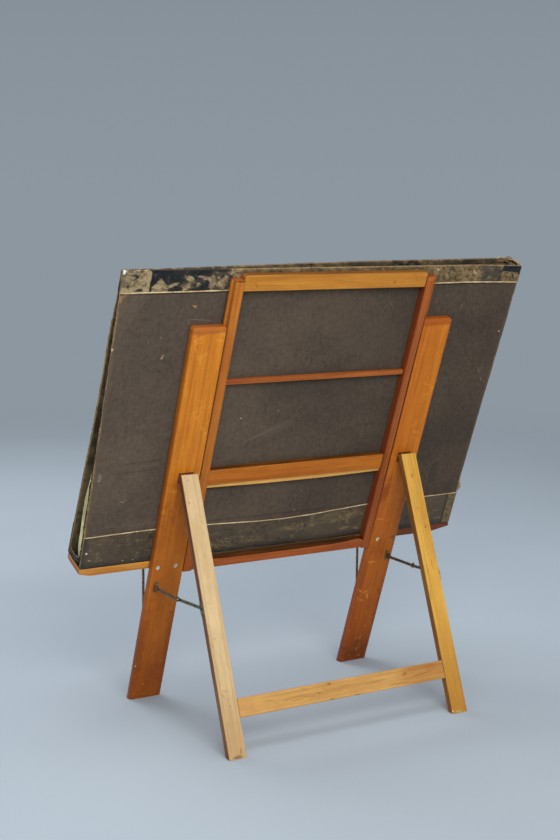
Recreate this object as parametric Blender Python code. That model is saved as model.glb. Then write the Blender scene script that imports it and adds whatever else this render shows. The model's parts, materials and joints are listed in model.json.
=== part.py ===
# Folding folio easel: two broad front legs with a ledge, two hinged rear legs,
# folding stays, a sliding back-rest frame, and a portfolio standing on the ledge.
# Units are metres, +Z up, the front of the stand faces -Y, "right" is +X.
#
# Most pieces are modelled "upright": x across, y backwards square to the front
# legs, z up along the front legs, then leaned back together by LEAN. Paired
# pieces are drawn for the right side. Rear-leg pieces are drawn closed, with
# the hinge axis at their origin, then opened by OPEN.
import math
from collections import namedtuple

import bmesh
import bpy
import numpy as np
from mathutils import Matrix, Vector

MM = 0.001


def mm(*values):
    return tuple(value * MM for value in values)


def mm_points(*points):
    return [mm(*point) for point in points]


def around(middle, half_width):
    """Range of the given half width about a middle."""
    return (middle - half_width, middle + half_width)


# ---------------------------------------------------------------- overall
LEAN = math.radians(21.0)        # front legs lean back from the vertical
OPEN = math.radians(42.0)        # angle between front and rear legs when open
Y_SHIFT = -0.19169               # brings the middle of the footprint to Y = 0
GAP = 0.3 * MM                   # clearance between pieces that touch
SIDES = (("right", 1), ("left", -1))

# ---------------------------------------------------------------- front legs
LEG_IN, LEG_OUT = mm(223.5, 292.5)       # inner and outer edges
LEG_T = 16.0 * MM
LEG_TOP = 843.5 * MM                     # length of the back face
LEG_ROUND = 6.0 * MM                     # rounded outer back arris
LEG_INNER_CHAMFER = 1.0 * MM
LEG_FRONT_CHAMFER = 2.0 * MM             # outer front arris
LEG_TOP_BEVEL = 5.0 * MM                 # back and outer edges of the top end
GROOVE_DEPTH = 5.8 * MM                  # groove for the back-rest tongues
GROOVE_Y = mm(-10.9, -5.1)
GROOVE_STOP = 306.2 * MM
EMPTY_HOLE = mm(278.6, 1.0, 187.0)       # left leg only
EMPTY_HOLE_R = 1.9 * MM

# ---------------------------------------------------------------- ledge
LEDGE_HALF = 441.0 * MM
LEDGE_TOP = 331.0 * MM
LEDGE_T = 17.0 * MM
LEDGE_UNDER = LEDGE_TOP - LEDGE_T
LEDGE_BACK, LEDGE_FRONT = mm(-16.3, -119.0)
LEDGE_CORNER = 55.0 * MM
# side sign, run of the slope under the end, thickness left at the edge
LEDGE_ENDS = ((1, 26.0 * MM, 10.0 * MM), (-1, 54.0 * MM, 6.0 * MM))
LEDGE_SCREW_X = mm(241.6, 280.4)
LEDGE_SCREW_Z = 324.3 * MM

# ---------------------------------------------------------------- ledge braces
BRACE_X = 262.0 * MM
BRACE_W = 8.0 * MM                       # width of the flat feet
BRACE_R = 2.7 * MM
BRACE_T = 2.8 * MM                       # thickness of the flat feet
BRACE_LOW_BACK = -LEG_T - GAP
BRACE_HIGH_TOP = LEDGE_UNDER - GAP
BRACE_HIGH_Y = mm(-112.0, -88.0)         # bend and tip of the upper foot
BRACE_LOW_Z = mm(66.0, 38.0)             # bend and tip of the lower foot
BRACE_LOW_SCREW = (BRACE_X, BRACE_LOW_BACK - BRACE_T, 46.0 * MM)
BRACE_HIGH_SCREW = (BRACE_X, -95.0 * MM, BRACE_HIGH_TOP - BRACE_T)

# ---------------------------------------------------------------- hinges
HINGE_Y, HINGE_Z = mm(0.3, 535.6)        # hinge axis
HINGE_X = 254.75 * MM                    # middle of hinge and rear leg
HINGE_AT = (HINGE_X, HINGE_Y, HINGE_Z)
HINGE_W = 30.0 * MM
BARREL_R = 2.9 * MM
PIN_R = 1.3 * MM
PIN_PLAY = 0.09 * MM
LEAF_L = 19.0 * MM
LEAF_T = 1.2 * MM
LEAF_OFFSET = 0.6 * MM                   # hinge axis to the near face of a leaf
LEAF_SCREW_DOWN = 11.8 * MM
LEAF_SCREW_OFFSET = 0.65 * MM            # hinge axis to a screw head's outer face

# ---------------------------------------------------------------- rear legs
REAR_W = 36.5 * MM
REAR_HALF = REAR_W / 2
REAR_T = 15.0 * MM
REAR_FACE = 0.3 * MM                     # front face, from the hinge axis
REAR_BACK = REAR_FACE + REAR_T
REAR_MID = REAR_FACE + REAR_T / 2
REAR_TOP = -3.4 * MM
REAR_CHAMFER = 1.0 * MM
STRETCHER_LOW = 72.5 * MM                # up the rear leg from the floor
STRETCHER_H = 36.0 * MM
STRETCHER_T = 14.0 * MM
STRETCHER_TENON = 18.0 * MM              # length of a tenon
STRETCHER_TENON_HALF = 3.0 * MM          # half its thickness
STRETCHER_SHOULDER = 5.0 * MM            # above and below the tenon
MORTISE_PLAY = 0.4 * MM

# ---------------------------------------------------------------- folding stays
STAY_Y, STAY_Z = mm(6.0, 279.0)          # front pivot
STAY_S = 256.6 * MM                      # rear pivot, down the leg from the hinge
STAY_SAG = 3.0 * MM                      # knuckle sits this far past straight
LINK_R = 4.2 * MM                        # round eyes of a link
LINK_HALF = 2.9 * MM                     # half the width between the eyes
FRONT_LINK_X = mm(277.0, 279.0)
REAR_LINK_X = mm(274.9, 276.7)
RIVET_R = 1.7 * MM
RIVET_HOLE_R = 1.8 * MM
PLATE_T = 1.2 * MM                       # brackets and plates
PLATE_FACE = GAP + PLATE_T               # outer face, from the wood
LUG_X = mm(279.6, 281.4)
BRACKET_SCREW = (277.4 * MM, PLATE_FACE, 286.9 * MM)
PLATE_SCREW_Z = -STAY_S - 8.5 * MM

# outline of the bracket's foot: x, z
BRACKET_FOOT = mm_points(
    (273.4, 270.5), (275.0, 268.0), (281.4, 268.0), (281.4, 289.4),
    (279.6, 291.2), (275.2, 291.2), (273.4, 289.4))
# outline of the bracket's lug: y, z
BRACKET_LUG = mm_points(
    (0.3, 273.0), (6.0, 273.6), (9.6, 275.2), (11.4, 279.0),
    (9.6, 282.8), (6.0, 284.4), (0.3, 285.0))
# lug at the knuckle of the front link: y, z from the knuckle pivot
STOP_LUG = mm_points(
    (-2.2, -3.4), (-5.3, -2.4), (-6.4, -0.6), (-6.4, 1.2), (-5.1, 2.6), (-2.2, 3.0))
# rivets: radius, distance along x
FRONT_RIVET = mm_points((1.7, 0), (1.7, 4.65), (3.3, 4.65), (3.1, 5.5), (1.8, 6.2))
KNUCKLE_RIVET = mm_points(
    (2.0, 0), (3.6, 0.5), (3.6, 1.2), (1.7, 1.2),
    (1.7, 5.95), (3.8, 5.95), (3.6, 6.9), (2.0, 7.5))

# ---------------------------------------------------------------- back-rest frame
FRAME_HALF = 222.2 * MM
STILE_W = 18.2 * MM
STILE_IN = FRAME_HALF - STILE_W
STILE_Y0, STILE_Y1 = mm(-15.6, -0.2)
STILE_Z0, STILE_Z1 = mm(306.5, 936.0)
TONGUE = 6.3 * MM
TONGUE_Y0, TONGUE_Y1 = mm(-10.4, -5.6)
RAIL_HALF = STILE_IN - GAP
TENON_MAX_T = 5.0 * MM
TENON_PLAY = 0.3 * MM
TENON_END_PLAY = 0.4 * MM
FRAME_ORIGIN = (0.0, 0.0, STILE_Z0)

# z and y ranges, tenon length, distance from the rail's edges to the tenon's
Rail = namedtuple("Rail", "z y tenon inset")
TOP_RAIL = Rail(mm(914.0, 946.0), mm(-14.6, -1.2), 12.0 * MM, 6.0 * MM)
THIN_BAR = Rail(mm(721.5, 731.5), mm(-12.0, -4.0), 6.0 * MM, 1.5 * MM)
MID_RAIL = Rail(mm(504.3, 538.0), mm(-14.6, -1.2), 12.0 * MM, 5.0 * MM)
LOW_RAIL = Rail(mm(308.7, 326.5), mm(-15.4, -0.2), 10.0 * MM, 3.0 * MM)
TOP_RAIL_CORNER = 8.0 * MM
# upper edge of the bottom rail: distance in from its end, rise above LOW_RAIL.z
LOW_RAIL_RISE = mm_points(
    (0, -0.7), (1.5, 1.2), (5, 3.6), (11, 5.0), (18, 5.2),
    (30, 4.2), (46, 2.2), (64, 0.6), (80, 0.0))
LATH_Z = mm(496.6, 504.0)
LATH_Y = mm(-12.5, -5.0)
LATH_BOW = 3.2 * MM                      # lower edge hangs this much lower at mid-span

# ---------------------------------------------------------------- portfolio
FOLIO_HALF = 440.5 * MM
FOLIO_X = around(0.0, FOLIO_HALF)
FOLIO_BACK = -17.3 * MM
BOARD_T = 4.0 * MM
FOLIO_LOW, FOLIO_TOP = mm(334.0, 954.0)
BAND_T = 0.7 * MM
LOW_BAND_MID = 372.0 * MM                # extra station where the low band bends
LOW_BAND_TOP = 405.5 * MM
HIGH_BAND_LOW = 914.0 * MM
SPINE_SETBACK = 1.5 * MM                 # behind the foot of the front board
SPINE_OVERHANG = 1.0 * MM                # behind the back board
SPINE_CLEAR = 0.4 * MM                   # above the ledge and below the boards
FLAP_EDGE = FOLIO_HALF - 1.5 * MM
FLAP_T = 1.2 * MM
FLAP_DEPTH = 9.5 * MM
FLAP_W = 90.0 * MM
FLAP_Z = mm(345.0, 760.0)
FOLIO_ORIGIN = (0.0, FOLIO_BACK, FOLIO_LOW)
# outer face of the front board, thick at the spine and sagging inwards: y, z
FRONT_FACE = mm_points(
    (-78.5, 335.0), (-72.9, 410.0), (-66.0, 475.0), (-59.5, 540.0), (-52.4, 612.0),
    (-46.5, 686.0), (-43.8, 738.0), (-42.2, 790.0), (-41.0, 870.0), (-40.5, 954.0))

# ---------------------------------------------------------------- screw sizes
# head radius, head height, shank radius
LEDGE_SCREW = mm(4.3, 2.4, 2.2)
FITTING_SCREW = mm(2.9, 1.7, 1.4)
HINGE_SCREW = mm(2.6, 1.5, 1.3)
PLATE_SCREW = mm(2.5, 1.2, 1.3)
# the hinge screws' holes differ from piece to piece
HINGE_HOLE_FRONT_LEG = mm(2.9, 1.5, 1.4)
HINGE_HOLE_LEAF = mm(2.7, 1.5, 1.4)
HINGE_HOLE_REAR_LEG = mm(2.7, 1.5, 1.3)


def world(x, y, z):
    """Upright coordinates to world coordinates."""
    sin, cos = math.sin(LEAN), math.cos(LEAN)
    return Vector((x, Y_SHIFT + z * sin + y * cos, z * cos - y * sin))


# ---------------------------------------------------------------- solids
def prism(points, low, high):
    """Closed prism between the corners low(point) and high(point)."""
    bm = bmesh.new()
    count = len(points)
    start = [bm.verts.new(low(point)) for point in points]
    end = [bm.verts.new(high(point)) for point in points]
    bm.faces.new(start[::-1])
    bm.faces.new(end)
    for i in range(count):
        j = (i + 1) % count
        bm.faces.new((start[i], start[j], end[j], end[i]))
    bmesh.ops.recalc_face_normals(bm, faces=bm.faces)
    return bm


def prism_x(yz, x):
    return prism(yz, lambda p: (x[0], p[0], p[1]), lambda p: (x[1], p[0], p[1]))


def prism_y(xz, y):
    return prism(xz, lambda p: (p[0], y[0], p[1]), lambda p: (p[0], y[1], p[1]))


def prism_z(xy, z):
    return prism(xy, lambda p: (p[0], p[1], z[0]), lambda p: (p[0], p[1], z[1]))


def post(xy, foot, top):
    """Prism along z whose lower end is cut at the height foot(y)."""
    return prism(xy, lambda p: (p[0], p[1], foot(p[1])), lambda p: (p[0], p[1], top))


def box(x, y, z):
    """Box over three (low, high) ranges."""
    return prism_z(((x[0], y[0]), (x[1], y[0]), (x[1], y[1]), (x[0], y[1])), z)


def quarter_arc(x, y, radius, start, steps):
    """Points of a quarter turn about (x, y) from the angle start, in degrees."""
    angles = [math.radians(start + 90 * i / steps) for i in range(steps + 1)]
    return [(x + radius * math.cos(t), y + radius * math.sin(t)) for t in angles]


def ease(bm, width):
    """Bevel every edge."""
    bmesh.ops.bevel(bm, geom=list(bm.edges), offset=width, segments=1,
                    profile=0.5, affect='EDGES', clamp_overlap=True)
    return bm


def axis_direction(axis):
    """Index and sign of an axis written 'x', '-y' and so on."""
    return "xyz".index(axis[-1]), -1.0 if axis[0] == '-' else 1.0


def lathe(profile, centre, axis, segments):
    """Turned solid. profile is (radius, distance along axis) from end to end."""
    along, sign = axis_direction(axis)
    bm = bmesh.new()
    rings = []
    for radius, height in profile:
        ring = []
        for i in range(segments):
            angle = 2 * math.pi * i / segments
            offset = [radius * math.cos(angle), radius * math.sin(angle)]
            offset.insert(along, height * sign)
            ring.append(bm.verts.new([c + o for c, o in zip(centre, offset)]))
        rings.append(ring)
    for lower, upper in zip(rings[:-1], rings[1:]):
        for i in range(segments):
            j = (i + 1) % segments
            bm.faces.new((lower[i], lower[j], upper[j], upper[i]))
    bm.faces.new(rings[0])
    bm.faces.new(rings[-1])
    bmesh.ops.recalc_face_normals(bm, faces=bm.faces)
    return bm


def rod(start, radius, length, axis, segments=20):
    return lathe(((radius, 0), (radius, length)), start, axis, segments)


def combine(base, other, operation):
    """Boolean of two bmesh solids; returns a new bmesh."""
    objects = []
    for bm in (base, other):
        mesh = bpy.data.meshes.new("work")
        bm.to_mesh(mesh)
        bm.free()
        ob = bpy.data.objects.new("work", mesh)
        bpy.context.scene.collection.objects.link(ob)
        objects.append(ob)
    target, tool = objects
    modifier = target.modifiers.new("step", 'BOOLEAN')
    modifier.operation = operation
    modifier.solver = 'EXACT'
    modifier.object = tool
    bpy.context.view_layer.update()
    evaluated = target.evaluated_get(bpy.context.evaluated_depsgraph_get())
    result = bpy.data.meshes.new_from_object(evaluated)
    out = bmesh.new()
    out.from_mesh(result)
    for ob in objects:
        mesh = ob.data
        bpy.data.objects.remove(ob, do_unlink=True)
        bpy.data.meshes.remove(mesh)
    bpy.data.meshes.remove(result)
    bmesh.ops.remove_doubles(out, verts=out.verts, dist=1e-6)
    bmesh.ops.dissolve_degenerate(out, edges=out.edges, dist=1e-6)
    return out


def cut(base, *tools):
    for tool in tools:
        base = combine(base, tool, 'DIFFERENCE')
    return base


def join(base, *parts):
    for part in parts:
        base = combine(base, part, 'UNION')
    return base


def screw(size, length, centre, axis):
    """Slotted countersunk screw. centre is the middle of the head's outer face;
    the shank runs along axis."""
    head_r, head_h, shank_r = size
    profile = ((head_r, 0.0), (shank_r, head_h), (shank_r, length - shank_r),
               (shank_r * 0.3, length))
    along, sign = axis_direction(axis)
    reach = [head_r * 1.2] * 3
    reach[2 if along == 1 else 1] = head_r * 0.16    # half the slot's width
    slot = [around(c, r) for c, r in zip(centre, reach)]
    slot[along] = sorted((centre[along] - sign * head_r,
                          centre[along] + sign * head_h * 0.4))
    return cut(lathe(profile, centre, axis, 18), box(*slot))


def screw_hole(size, depth, centre, axis):
    """Clearance for a screw, GAP larger all round, opened outwards."""
    head_r, head_h, shank_r = size
    profile = ((head_r + GAP, -2 * MM), (head_r + GAP, 0.0),
               (shank_r + GAP, head_h + GAP * 0.4), (shank_r + GAP, depth + GAP))
    return lathe(profile, centre, axis, 20)


# ---------------------------------------------------------------- placing
def relative_to(bm, origin):
    """Make a mesh drawn in upright coordinates relative to its origin."""
    bmesh.ops.translate(bm, vec=-Vector(origin), verts=bm.verts)
    return bm


def place(name, bm, mat, origin=(0.0, 0.0, 0.0), turn=0.0, smooth=False, mirrored=False):
    """Add a finished piece. origin is in upright coordinates; the mesh is
    relative to it. turn is an extra rotation about X."""
    if mirrored:
        bmesh.ops.scale(bm, vec=(-1, 1, 1), verts=bm.verts)
        bmesh.ops.reverse_faces(bm, faces=bm.faces)
    mesh = bpy.data.meshes.new(name)
    bm.to_mesh(mesh)
    bm.free()
    mesh.materials.append(mat)
    if smooth:
        for polygon in mesh.polygons:
            polygon.use_smooth = True
        mesh.set_sharp_from_angle(angle=math.radians(35))
    ob = bpy.data.objects.new(name, mesh)
    bpy.context.scene.collection.objects.link(ob)
    ob.location = world(*origin)
    ob.rotation_euler = (-LEAN + turn, 0.0, 0.0)


def place_pair(name, bm, mat, origin=(0.0, 0.0, 0.0), turn=0.0, smooth=False, mirror=True):
    """Add a right-hand piece and its left-hand partner. {} in name is the side."""
    x, y, z = origin
    for side, sign in SIDES:
        place(name.format(side), bm.copy(), mat, (sign * x, y, z), turn, smooth,
              mirrored=mirror and sign < 0)
    bm.free()


# ---------------------------------------------------------------- materials
def material(name, colour, roughness, metallic=0.0):
    mat = bpy.data.materials.new(name)
    mat.use_nodes = True
    shader = mat.node_tree.nodes["Principled BSDF"]
    shader.inputs["Base Color"].default_value = (*colour, 1.0)
    shader.inputs["Roughness"].default_value = roughness
    shader.inputs["Metallic"].default_value = metallic
    mat.diffuse_color = (*colour, 1.0)
    return mat


# ---------------------------------------------------------------- front legs
def corner_triangle(edge, top, width):
    """Section of a tool that bevels the corner (edge, top)."""
    return ((edge - width - MM, top + MM), (edge + MM, top - width - MM),
            (edge + 3 * MM, top + 3 * MM))


def front_leg(empty_hole):
    inner, front = LEG_INNER_CHAMFER, LEG_FRONT_CHAMFER
    # anticlockwise from the inner front corner
    section = [(LEG_IN + inner, -LEG_T), (LEG_OUT - front, -LEG_T), (LEG_OUT, -LEG_T + front)]
    section += quarter_arc(LEG_OUT - LEG_ROUND, -LEG_ROUND, LEG_ROUND, start=0, steps=4)
    section += [(LEG_IN + inner, 0.0), (LEG_IN, -inner), (LEG_IN, -LEG_T + inner)]
    leg = post(section, lambda y: y * math.tan(LEAN), LEG_TOP)

    hinge_x = around(HINGE_X, HINGE_W / 2 + GAP)
    tools = [
        # bevelled top end
        prism_x(corner_triangle(0.0, LEG_TOP, LEG_TOP_BEVEL),
                (LEG_IN - 5 * MM, LEG_OUT + 5 * MM)),
        prism_y(corner_triangle(LEG_OUT, LEG_TOP, LEG_TOP_BEVEL), (-LEG_T - 5 * MM, 5 * MM)),
        # groove for the frame's tongue
        box((LEG_IN - 2 * MM, LEG_IN + GROOVE_DEPTH), GROOVE_Y, (GROOVE_STOP, LEG_TOP + 5 * MM)),
        # hinge recess: leaf pocket and barrel groove
        box(hinge_x, (HINGE_Y - LEAF_OFFSET - LEAF_T - GAP, 3 * MM),
            (HINGE_Z - LEAF_L - GAP, HINGE_Z - 1.0 * MM)),
        rod((hinge_x[0], HINGE_Y, HINGE_Z), BARREL_R + 0.4 * MM,
            hinge_x[1] - hinge_x[0], 'x', 24),
    ]
    for x in LEDGE_SCREW_X:
        tools.append(rod((x, 3 * MM, LEDGE_SCREW_Z), LEDGE_SCREW[2] + GAP, LEG_T + 8 * MM,
                         '-y', 18))
        tools.append(screw_hole(LEDGE_SCREW, 6 * MM, (x, 0.0, LEDGE_SCREW_Z), '-y'))
    leaf_screw = (HINGE_X, HINGE_Y - LEAF_OFFSET, HINGE_Z - LEAF_SCREW_DOWN)
    tools += [
        screw_hole(HINGE_HOLE_FRONT_LEG, 11 * MM, leaf_screw, '-y'),
        screw_hole(FITTING_SCREW, 13 * MM, BRACKET_SCREW, '-y'),
        screw_hole(FITTING_SCREW, 12 * MM, BRACE_LOW_SCREW, 'y'),
    ]
    if empty_hole:
        tools.append(rod(EMPTY_HOLE, EMPTY_HOLE_R, 6.0 * MM, '-y', 16))
    return cut(leg, *tools)


def build_front_legs(wood):
    place("front_leg_right", front_leg(empty_hole=False), wood)
    place("front_leg_left", front_leg(empty_hole=True), wood, mirrored=True)


# ---------------------------------------------------------------- ledge
def build_ledge(wood, steel):
    corner_x, corner_y = LEDGE_HALF - LEDGE_CORNER, LEDGE_FRONT + LEDGE_CORNER
    plan = [(LEDGE_HALF, LEDGE_BACK), (-LEDGE_HALF, LEDGE_BACK)]
    plan += quarter_arc(-corner_x, corner_y, LEDGE_CORNER, start=180, steps=8)
    plan += quarter_arc(corner_x, corner_y, LEDGE_CORNER, start=270, steps=8)
    ledge = prism_z(plan, (LEDGE_UNDER, LEDGE_TOP))
    level_edges = [e for e in ledge.edges if abs(e.verts[0].co.z - e.verts[1].co.z) < 1e-7]
    bmesh.ops.bevel(ledge, geom=level_edges, offset=1.2 * MM, segments=1, affect='EDGES')

    tools = []
    # the undersides of both ends are planed away to a thinner edge
    for sign, run, edge_t in LEDGE_ENDS:
        overrun = 4 * MM
        x_end, x_in = sign * (LEDGE_HALF + overrun), sign * (LEDGE_HALF - run)
        rise = (LEDGE_T - edge_t) * (run + overrun) / run
        below = LEDGE_UNDER - 5 * MM
        wedge = [(x_in, LEDGE_UNDER), (x_end, LEDGE_UNDER + rise), (x_end, below), (x_in, below)]
        tools.append(prism_y(wedge, (LEDGE_FRONT - 5 * MM, LEDGE_BACK + 5 * MM)))
    for _, sign in SIDES:
        for x in LEDGE_SCREW_X:
            tools.append(rod((sign * x, LEDGE_BACK + 2 * MM, LEDGE_SCREW_Z),
                             LEDGE_SCREW[2] + GAP, 24.5 * MM, '-y', 18))
        x, y, z = BRACE_HIGH_SCREW
        tools.append(screw_hole(FITTING_SCREW, 13 * MM, (sign * x, y, z), 'z'))
    place("ledge", cut(ledge, *tools), wood)

    for where, x in zip(("inner", "outer"), LEDGE_SCREW_X):
        place_pair("ledge_screw_{}_" + where,
                   screw(LEDGE_SCREW, 37 * MM, (x, 0.0, LEDGE_SCREW_Z), '-y'),
                   steel, smooth=True)


# ---------------------------------------------------------------- ledge braces
def brace_foot_outline(bend, tip):
    """Flat foot with a tapered tip, as (x, distance) along its length."""
    half = BRACE_W / 2
    sign = 1 if tip > bend else -1
    start, shoulder = bend - sign * 1.5 * MM, tip - sign * 3 * MM
    return ((-half, start), (half, start), (half, shoulder), (half * 0.5, tip),
            (-half * 0.5, tip), (-half, shoulder))


def brace():
    high_bend, high_tip = BRACE_HIGH_Y
    low_bend, low_tip = BRACE_LOW_Z
    low_front, high_under = BRACE_LOW_BACK - BRACE_T, BRACE_HIGH_TOP - BRACE_T
    # round rod between its two bends
    upper = Vector((0.0, high_bend + 1.5 * MM, high_under - 0.3 * MM))
    lower = Vector((0.0, low_front - 0.3 * MM, low_bend - 2.0 * MM))
    run = lower - upper
    bar = rod((0, 0, 0), BRACE_R, run.length, 'z', 16)
    tilt = Vector((0, 0, 1)).rotation_difference(run.normalized()).to_matrix().to_4x4()
    bmesh.ops.transform(bar, matrix=Matrix.Translation(upper) @ tilt, verts=bar.verts)
    # flat ends under the ledge and against the leg
    bar = join(bar,
               prism_z(brace_foot_outline(high_bend, high_tip), (high_under, BRACE_HIGH_TOP)),
               prism_y(brace_foot_outline(low_bend, low_tip), (low_front, BRACE_LOW_BACK)))
    bmesh.ops.translate(bar, vec=(BRACE_X, 0, 0), verts=bar.verts)
    # the first two tools keep the round rod out of the ledge and the leg
    reach = 20 * MM
    x = around(BRACE_X, reach)
    return cut(
        bar,
        box(x, (high_bend - reach, high_tip + reach), (BRACE_HIGH_TOP, BRACE_HIGH_TOP + reach)),
        box(x, (BRACE_LOW_BACK, BRACE_LOW_BACK + reach), (low_tip - reach, low_bend + reach)),
        screw_hole(FITTING_SCREW, 12 * MM, BRACE_LOW_SCREW, 'y'),
        screw_hole(FITTING_SCREW, 12 * MM, BRACE_HIGH_SCREW, 'z'))


def build_braces(brass, steel):
    place_pair("ledge_brace_{}", brace(), brass)
    place_pair("brace_screw_low_{}", screw(FITTING_SCREW, 11.5 * MM, BRACE_LOW_SCREW, 'y'),
               steel, smooth=True)
    place_pair("brace_screw_high_{}", screw(FITTING_SCREW, 12.5 * MM, BRACE_HIGH_SCREW, 'z'),
               steel, smooth=True)


# ---------------------------------------------------------------- hinges
def hinge_leaf(sign, knuckles):
    """Leaf about the hinge axis. sign is -1 for the front leaf, 1 for the rear;
    knuckles are the x ranges of its barrel pieces."""
    x = around(0.0, HINGE_W / 2)
    y = sorted((sign * LEAF_OFFSET, sign * (LEAF_OFFSET + LEAF_T)))
    leaf = box(x, y, (-LEAF_L, -3.2 * MM))
    for x0, x1 in knuckles:
        leaf = join(leaf, box((x0, x1), y, mm(-4.0, -0.2)),
                    rod((x0, 0, 0), BARREL_R, x1 - x0, 'x'))
    return cut(leaf,
               rod((x[0] - MM, 0, 0), PIN_R + PIN_PLAY, HINGE_W + 2 * MM, 'x'),
               screw_hole(HINGE_HOLE_LEAF, 6 * MM, (0, sign * LEAF_OFFSET, -LEAF_SCREW_DOWN),
                          '-y' if sign < 0 else 'y'))


def build_hinges(iron, steel):
    x0 = -HINGE_W / 2
    knuckle = (HINGE_W - 2 * GAP) / 3.0
    outer = ((x0, x0 + knuckle), (x0 + HINGE_W - knuckle, x0 + HINGE_W))
    middle = ((x0 + knuckle + GAP, x0 + 2 * knuckle + GAP),)
    for where, sign, knuckles, axis, turn in (("front", -1, outer, '-y', 0.0),
                                              ("rear", 1, middle, 'y', OPEN)):
        place_pair("hinge_" + where + "_leaf_{}", hinge_leaf(sign, knuckles), iron,
                   HINGE_AT, turn, mirror=False)
        head = (0, sign * LEAF_SCREW_OFFSET, -LEAF_SCREW_DOWN)
        place_pair("hinge_" + where + "_screw_{}", screw(HINGE_SCREW, 10.5 * MM, head, axis),
                   steel, HINGE_AT, turn, smooth=True, mirror=False)
    end = 0.4 * MM
    profile = ((PIN_R * 0.7, 0), (PIN_R, end), (PIN_R, HINGE_W - end), (PIN_R * 0.7, HINGE_W))
    place_pair("hinge_pin_{}", lathe(profile, (x0, 0, 0), 'x', 18), iron, HINGE_AT,
               smooth=True, mirror=False)


# ---------------------------------------------------------------- rear legs
def rear_floor(y):
    """Local height of the floor under depth y of a rear leg."""
    back_lean = OPEN - LEAN
    return -(world(*HINGE_AT).z + y * math.sin(back_lean)) / math.cos(back_lean)


STRETCHER_Z = rear_floor(REAR_BACK) + STRETCHER_LOW
STRETCHER_MID_Y = REAR_BACK - STRETCHER_T / 2


def stretcher_tenon(x, play=0.0):
    shoulder = STRETCHER_SHOULDER - play
    return box(x, around(STRETCHER_MID_Y, STRETCHER_TENON_HALF + play),
               (STRETCHER_Z + shoulder, STRETCHER_Z + STRETCHER_H - shoulder))


def rear_leg(outward):
    """outward is the sign of x at the leg's outer edge."""
    half, c = REAR_HALF, REAR_CHAMFER
    y0, y1 = REAR_FACE, REAR_BACK
    section = ((-half + c, y0), (half - c, y0), (half, y0 + c), (half, y1 - c),
               (half - c, y1), (-half + c, y1), (-half, y1 - c), (-half, y0 + c))
    leg = post(section, rear_floor, REAR_TOP)
    top_edges = [e for e in leg.edges if all(abs(v.co.z - REAR_TOP) < 1e-7 for v in e.verts)]
    bmesh.ops.bevel(leg, geom=top_edges, offset=0.8 * MM, segments=1, affect='EDGES')
    mortise_x = sorted((-outward * (half + 2 * MM),
                        -outward * (half - STRETCHER_TENON - MORTISE_PLAY)))
    return cut(
        leg,
        # recess for the hinge leaf
        box(around(0.0, half + MM), (REAR_FACE - 2 * MM, LEAF_OFFSET + LEAF_T + GAP),
            (-LEAF_L - GAP, 5 * MM)),
        screw_hole(HINGE_HOLE_REAR_LEG, 11 * MM, (0, LEAF_SCREW_OFFSET, -LEAF_SCREW_DOWN), 'y'),
        # mortise in the inner edge, stay-plate screw in the outer edge
        stretcher_tenon(mortise_x, MORTISE_PLAY),
        screw_hole(PLATE_SCREW, 11 * MM, (outward * (half + PLATE_FACE), REAR_MID, PLATE_SCREW_Z),
                   '-x' if outward > 0 else 'x'))


def build_rear_legs(wood):
    for side, sign in SIDES:
        place("rear_leg_" + side, rear_leg(sign), wood, (sign * HINGE_X, HINGE_Y, HINGE_Z), OPEN)
    half = HINGE_X - REAR_HALF - GAP
    bar = ease(box(around(0.0, half), around(STRETCHER_MID_Y, STRETCHER_T / 2),
                   (STRETCHER_Z, STRETCHER_Z + STRETCHER_H)), 0.8 * MM)
    bar = join(bar, stretcher_tenon(around(0.0, half + STRETCHER_TENON)))
    place("rear_stretcher", bar, wood, (0, HINGE_Y, HINGE_Z), OPEN)


# ---------------------------------------------------------------- folding stays
def pivot_hole(y, z):
    return rod((270 * MM, y, z), RIVET_HOLE_R, 15 * MM, 'x', 18)


def link(x, length):
    """Flat bar along local z from its first pivot, with round eyes."""
    steps = 10
    neck = math.asin(LINK_HALF / LINK_R)
    points = []
    for start, centre in ((math.pi - neck, length), (-neck, 0.0)):
        for i in range(steps + 1):
            t = start - (2 * math.pi - 2 * neck) * i / steps
            points.append((LINK_R * math.sin(t), centre + LINK_R * math.cos(t)))
    return prism_x(points, x)


def build_stay_links(brass):
    # rear pivot in upright coordinates, then the knuckle between the pivots
    rear_y = HINGE_Y + STAY_S * math.sin(OPEN) + REAR_MID * math.cos(OPEN)
    rear_z = HINGE_Z - STAY_S * math.cos(OPEN) + REAR_MID * math.sin(OPEN)
    dy, dz = rear_y - STAY_Y, rear_z - STAY_Z
    length = math.hypot(math.hypot(dy, dz) / 2, STAY_SAG)
    line = math.atan2(dy, dz)
    bend = math.asin(STAY_SAG / length)
    front_angle, rear_angle = line + bend, line - bend    # from upright z towards y
    knuckle = (0, STAY_Y + length * math.sin(front_angle),
               STAY_Z + length * math.cos(front_angle))

    lug = prism_x([(y, length + z) for y, z in STOP_LUG], FRONT_LINK_X)
    front = cut(join(link(FRONT_LINK_X, length), lug), pivot_hole(0, 0), pivot_hole(0, length))
    place_pair("stay_front_link_{}", front, brass, (0, STAY_Y, STAY_Z), -front_angle)
    rear = cut(link(REAR_LINK_X, length), pivot_hole(0, 0), pivot_hole(0, length))
    place_pair("stay_rear_link_{}", rear, brass, knuckle, -rear_angle)
    place_pair("stay_knuckle_rivet_{}", lathe(KNUCKLE_RIVET, (273.4 * MM, 0, 0), 'x', 18),
               brass, knuckle, -front_angle, smooth=True)
    place_pair("stay_front_rivet_{}",
               lathe(FRONT_RIVET, (277.05 * MM, STAY_Y, STAY_Z), 'x', 18), brass, smooth=True)


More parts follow.
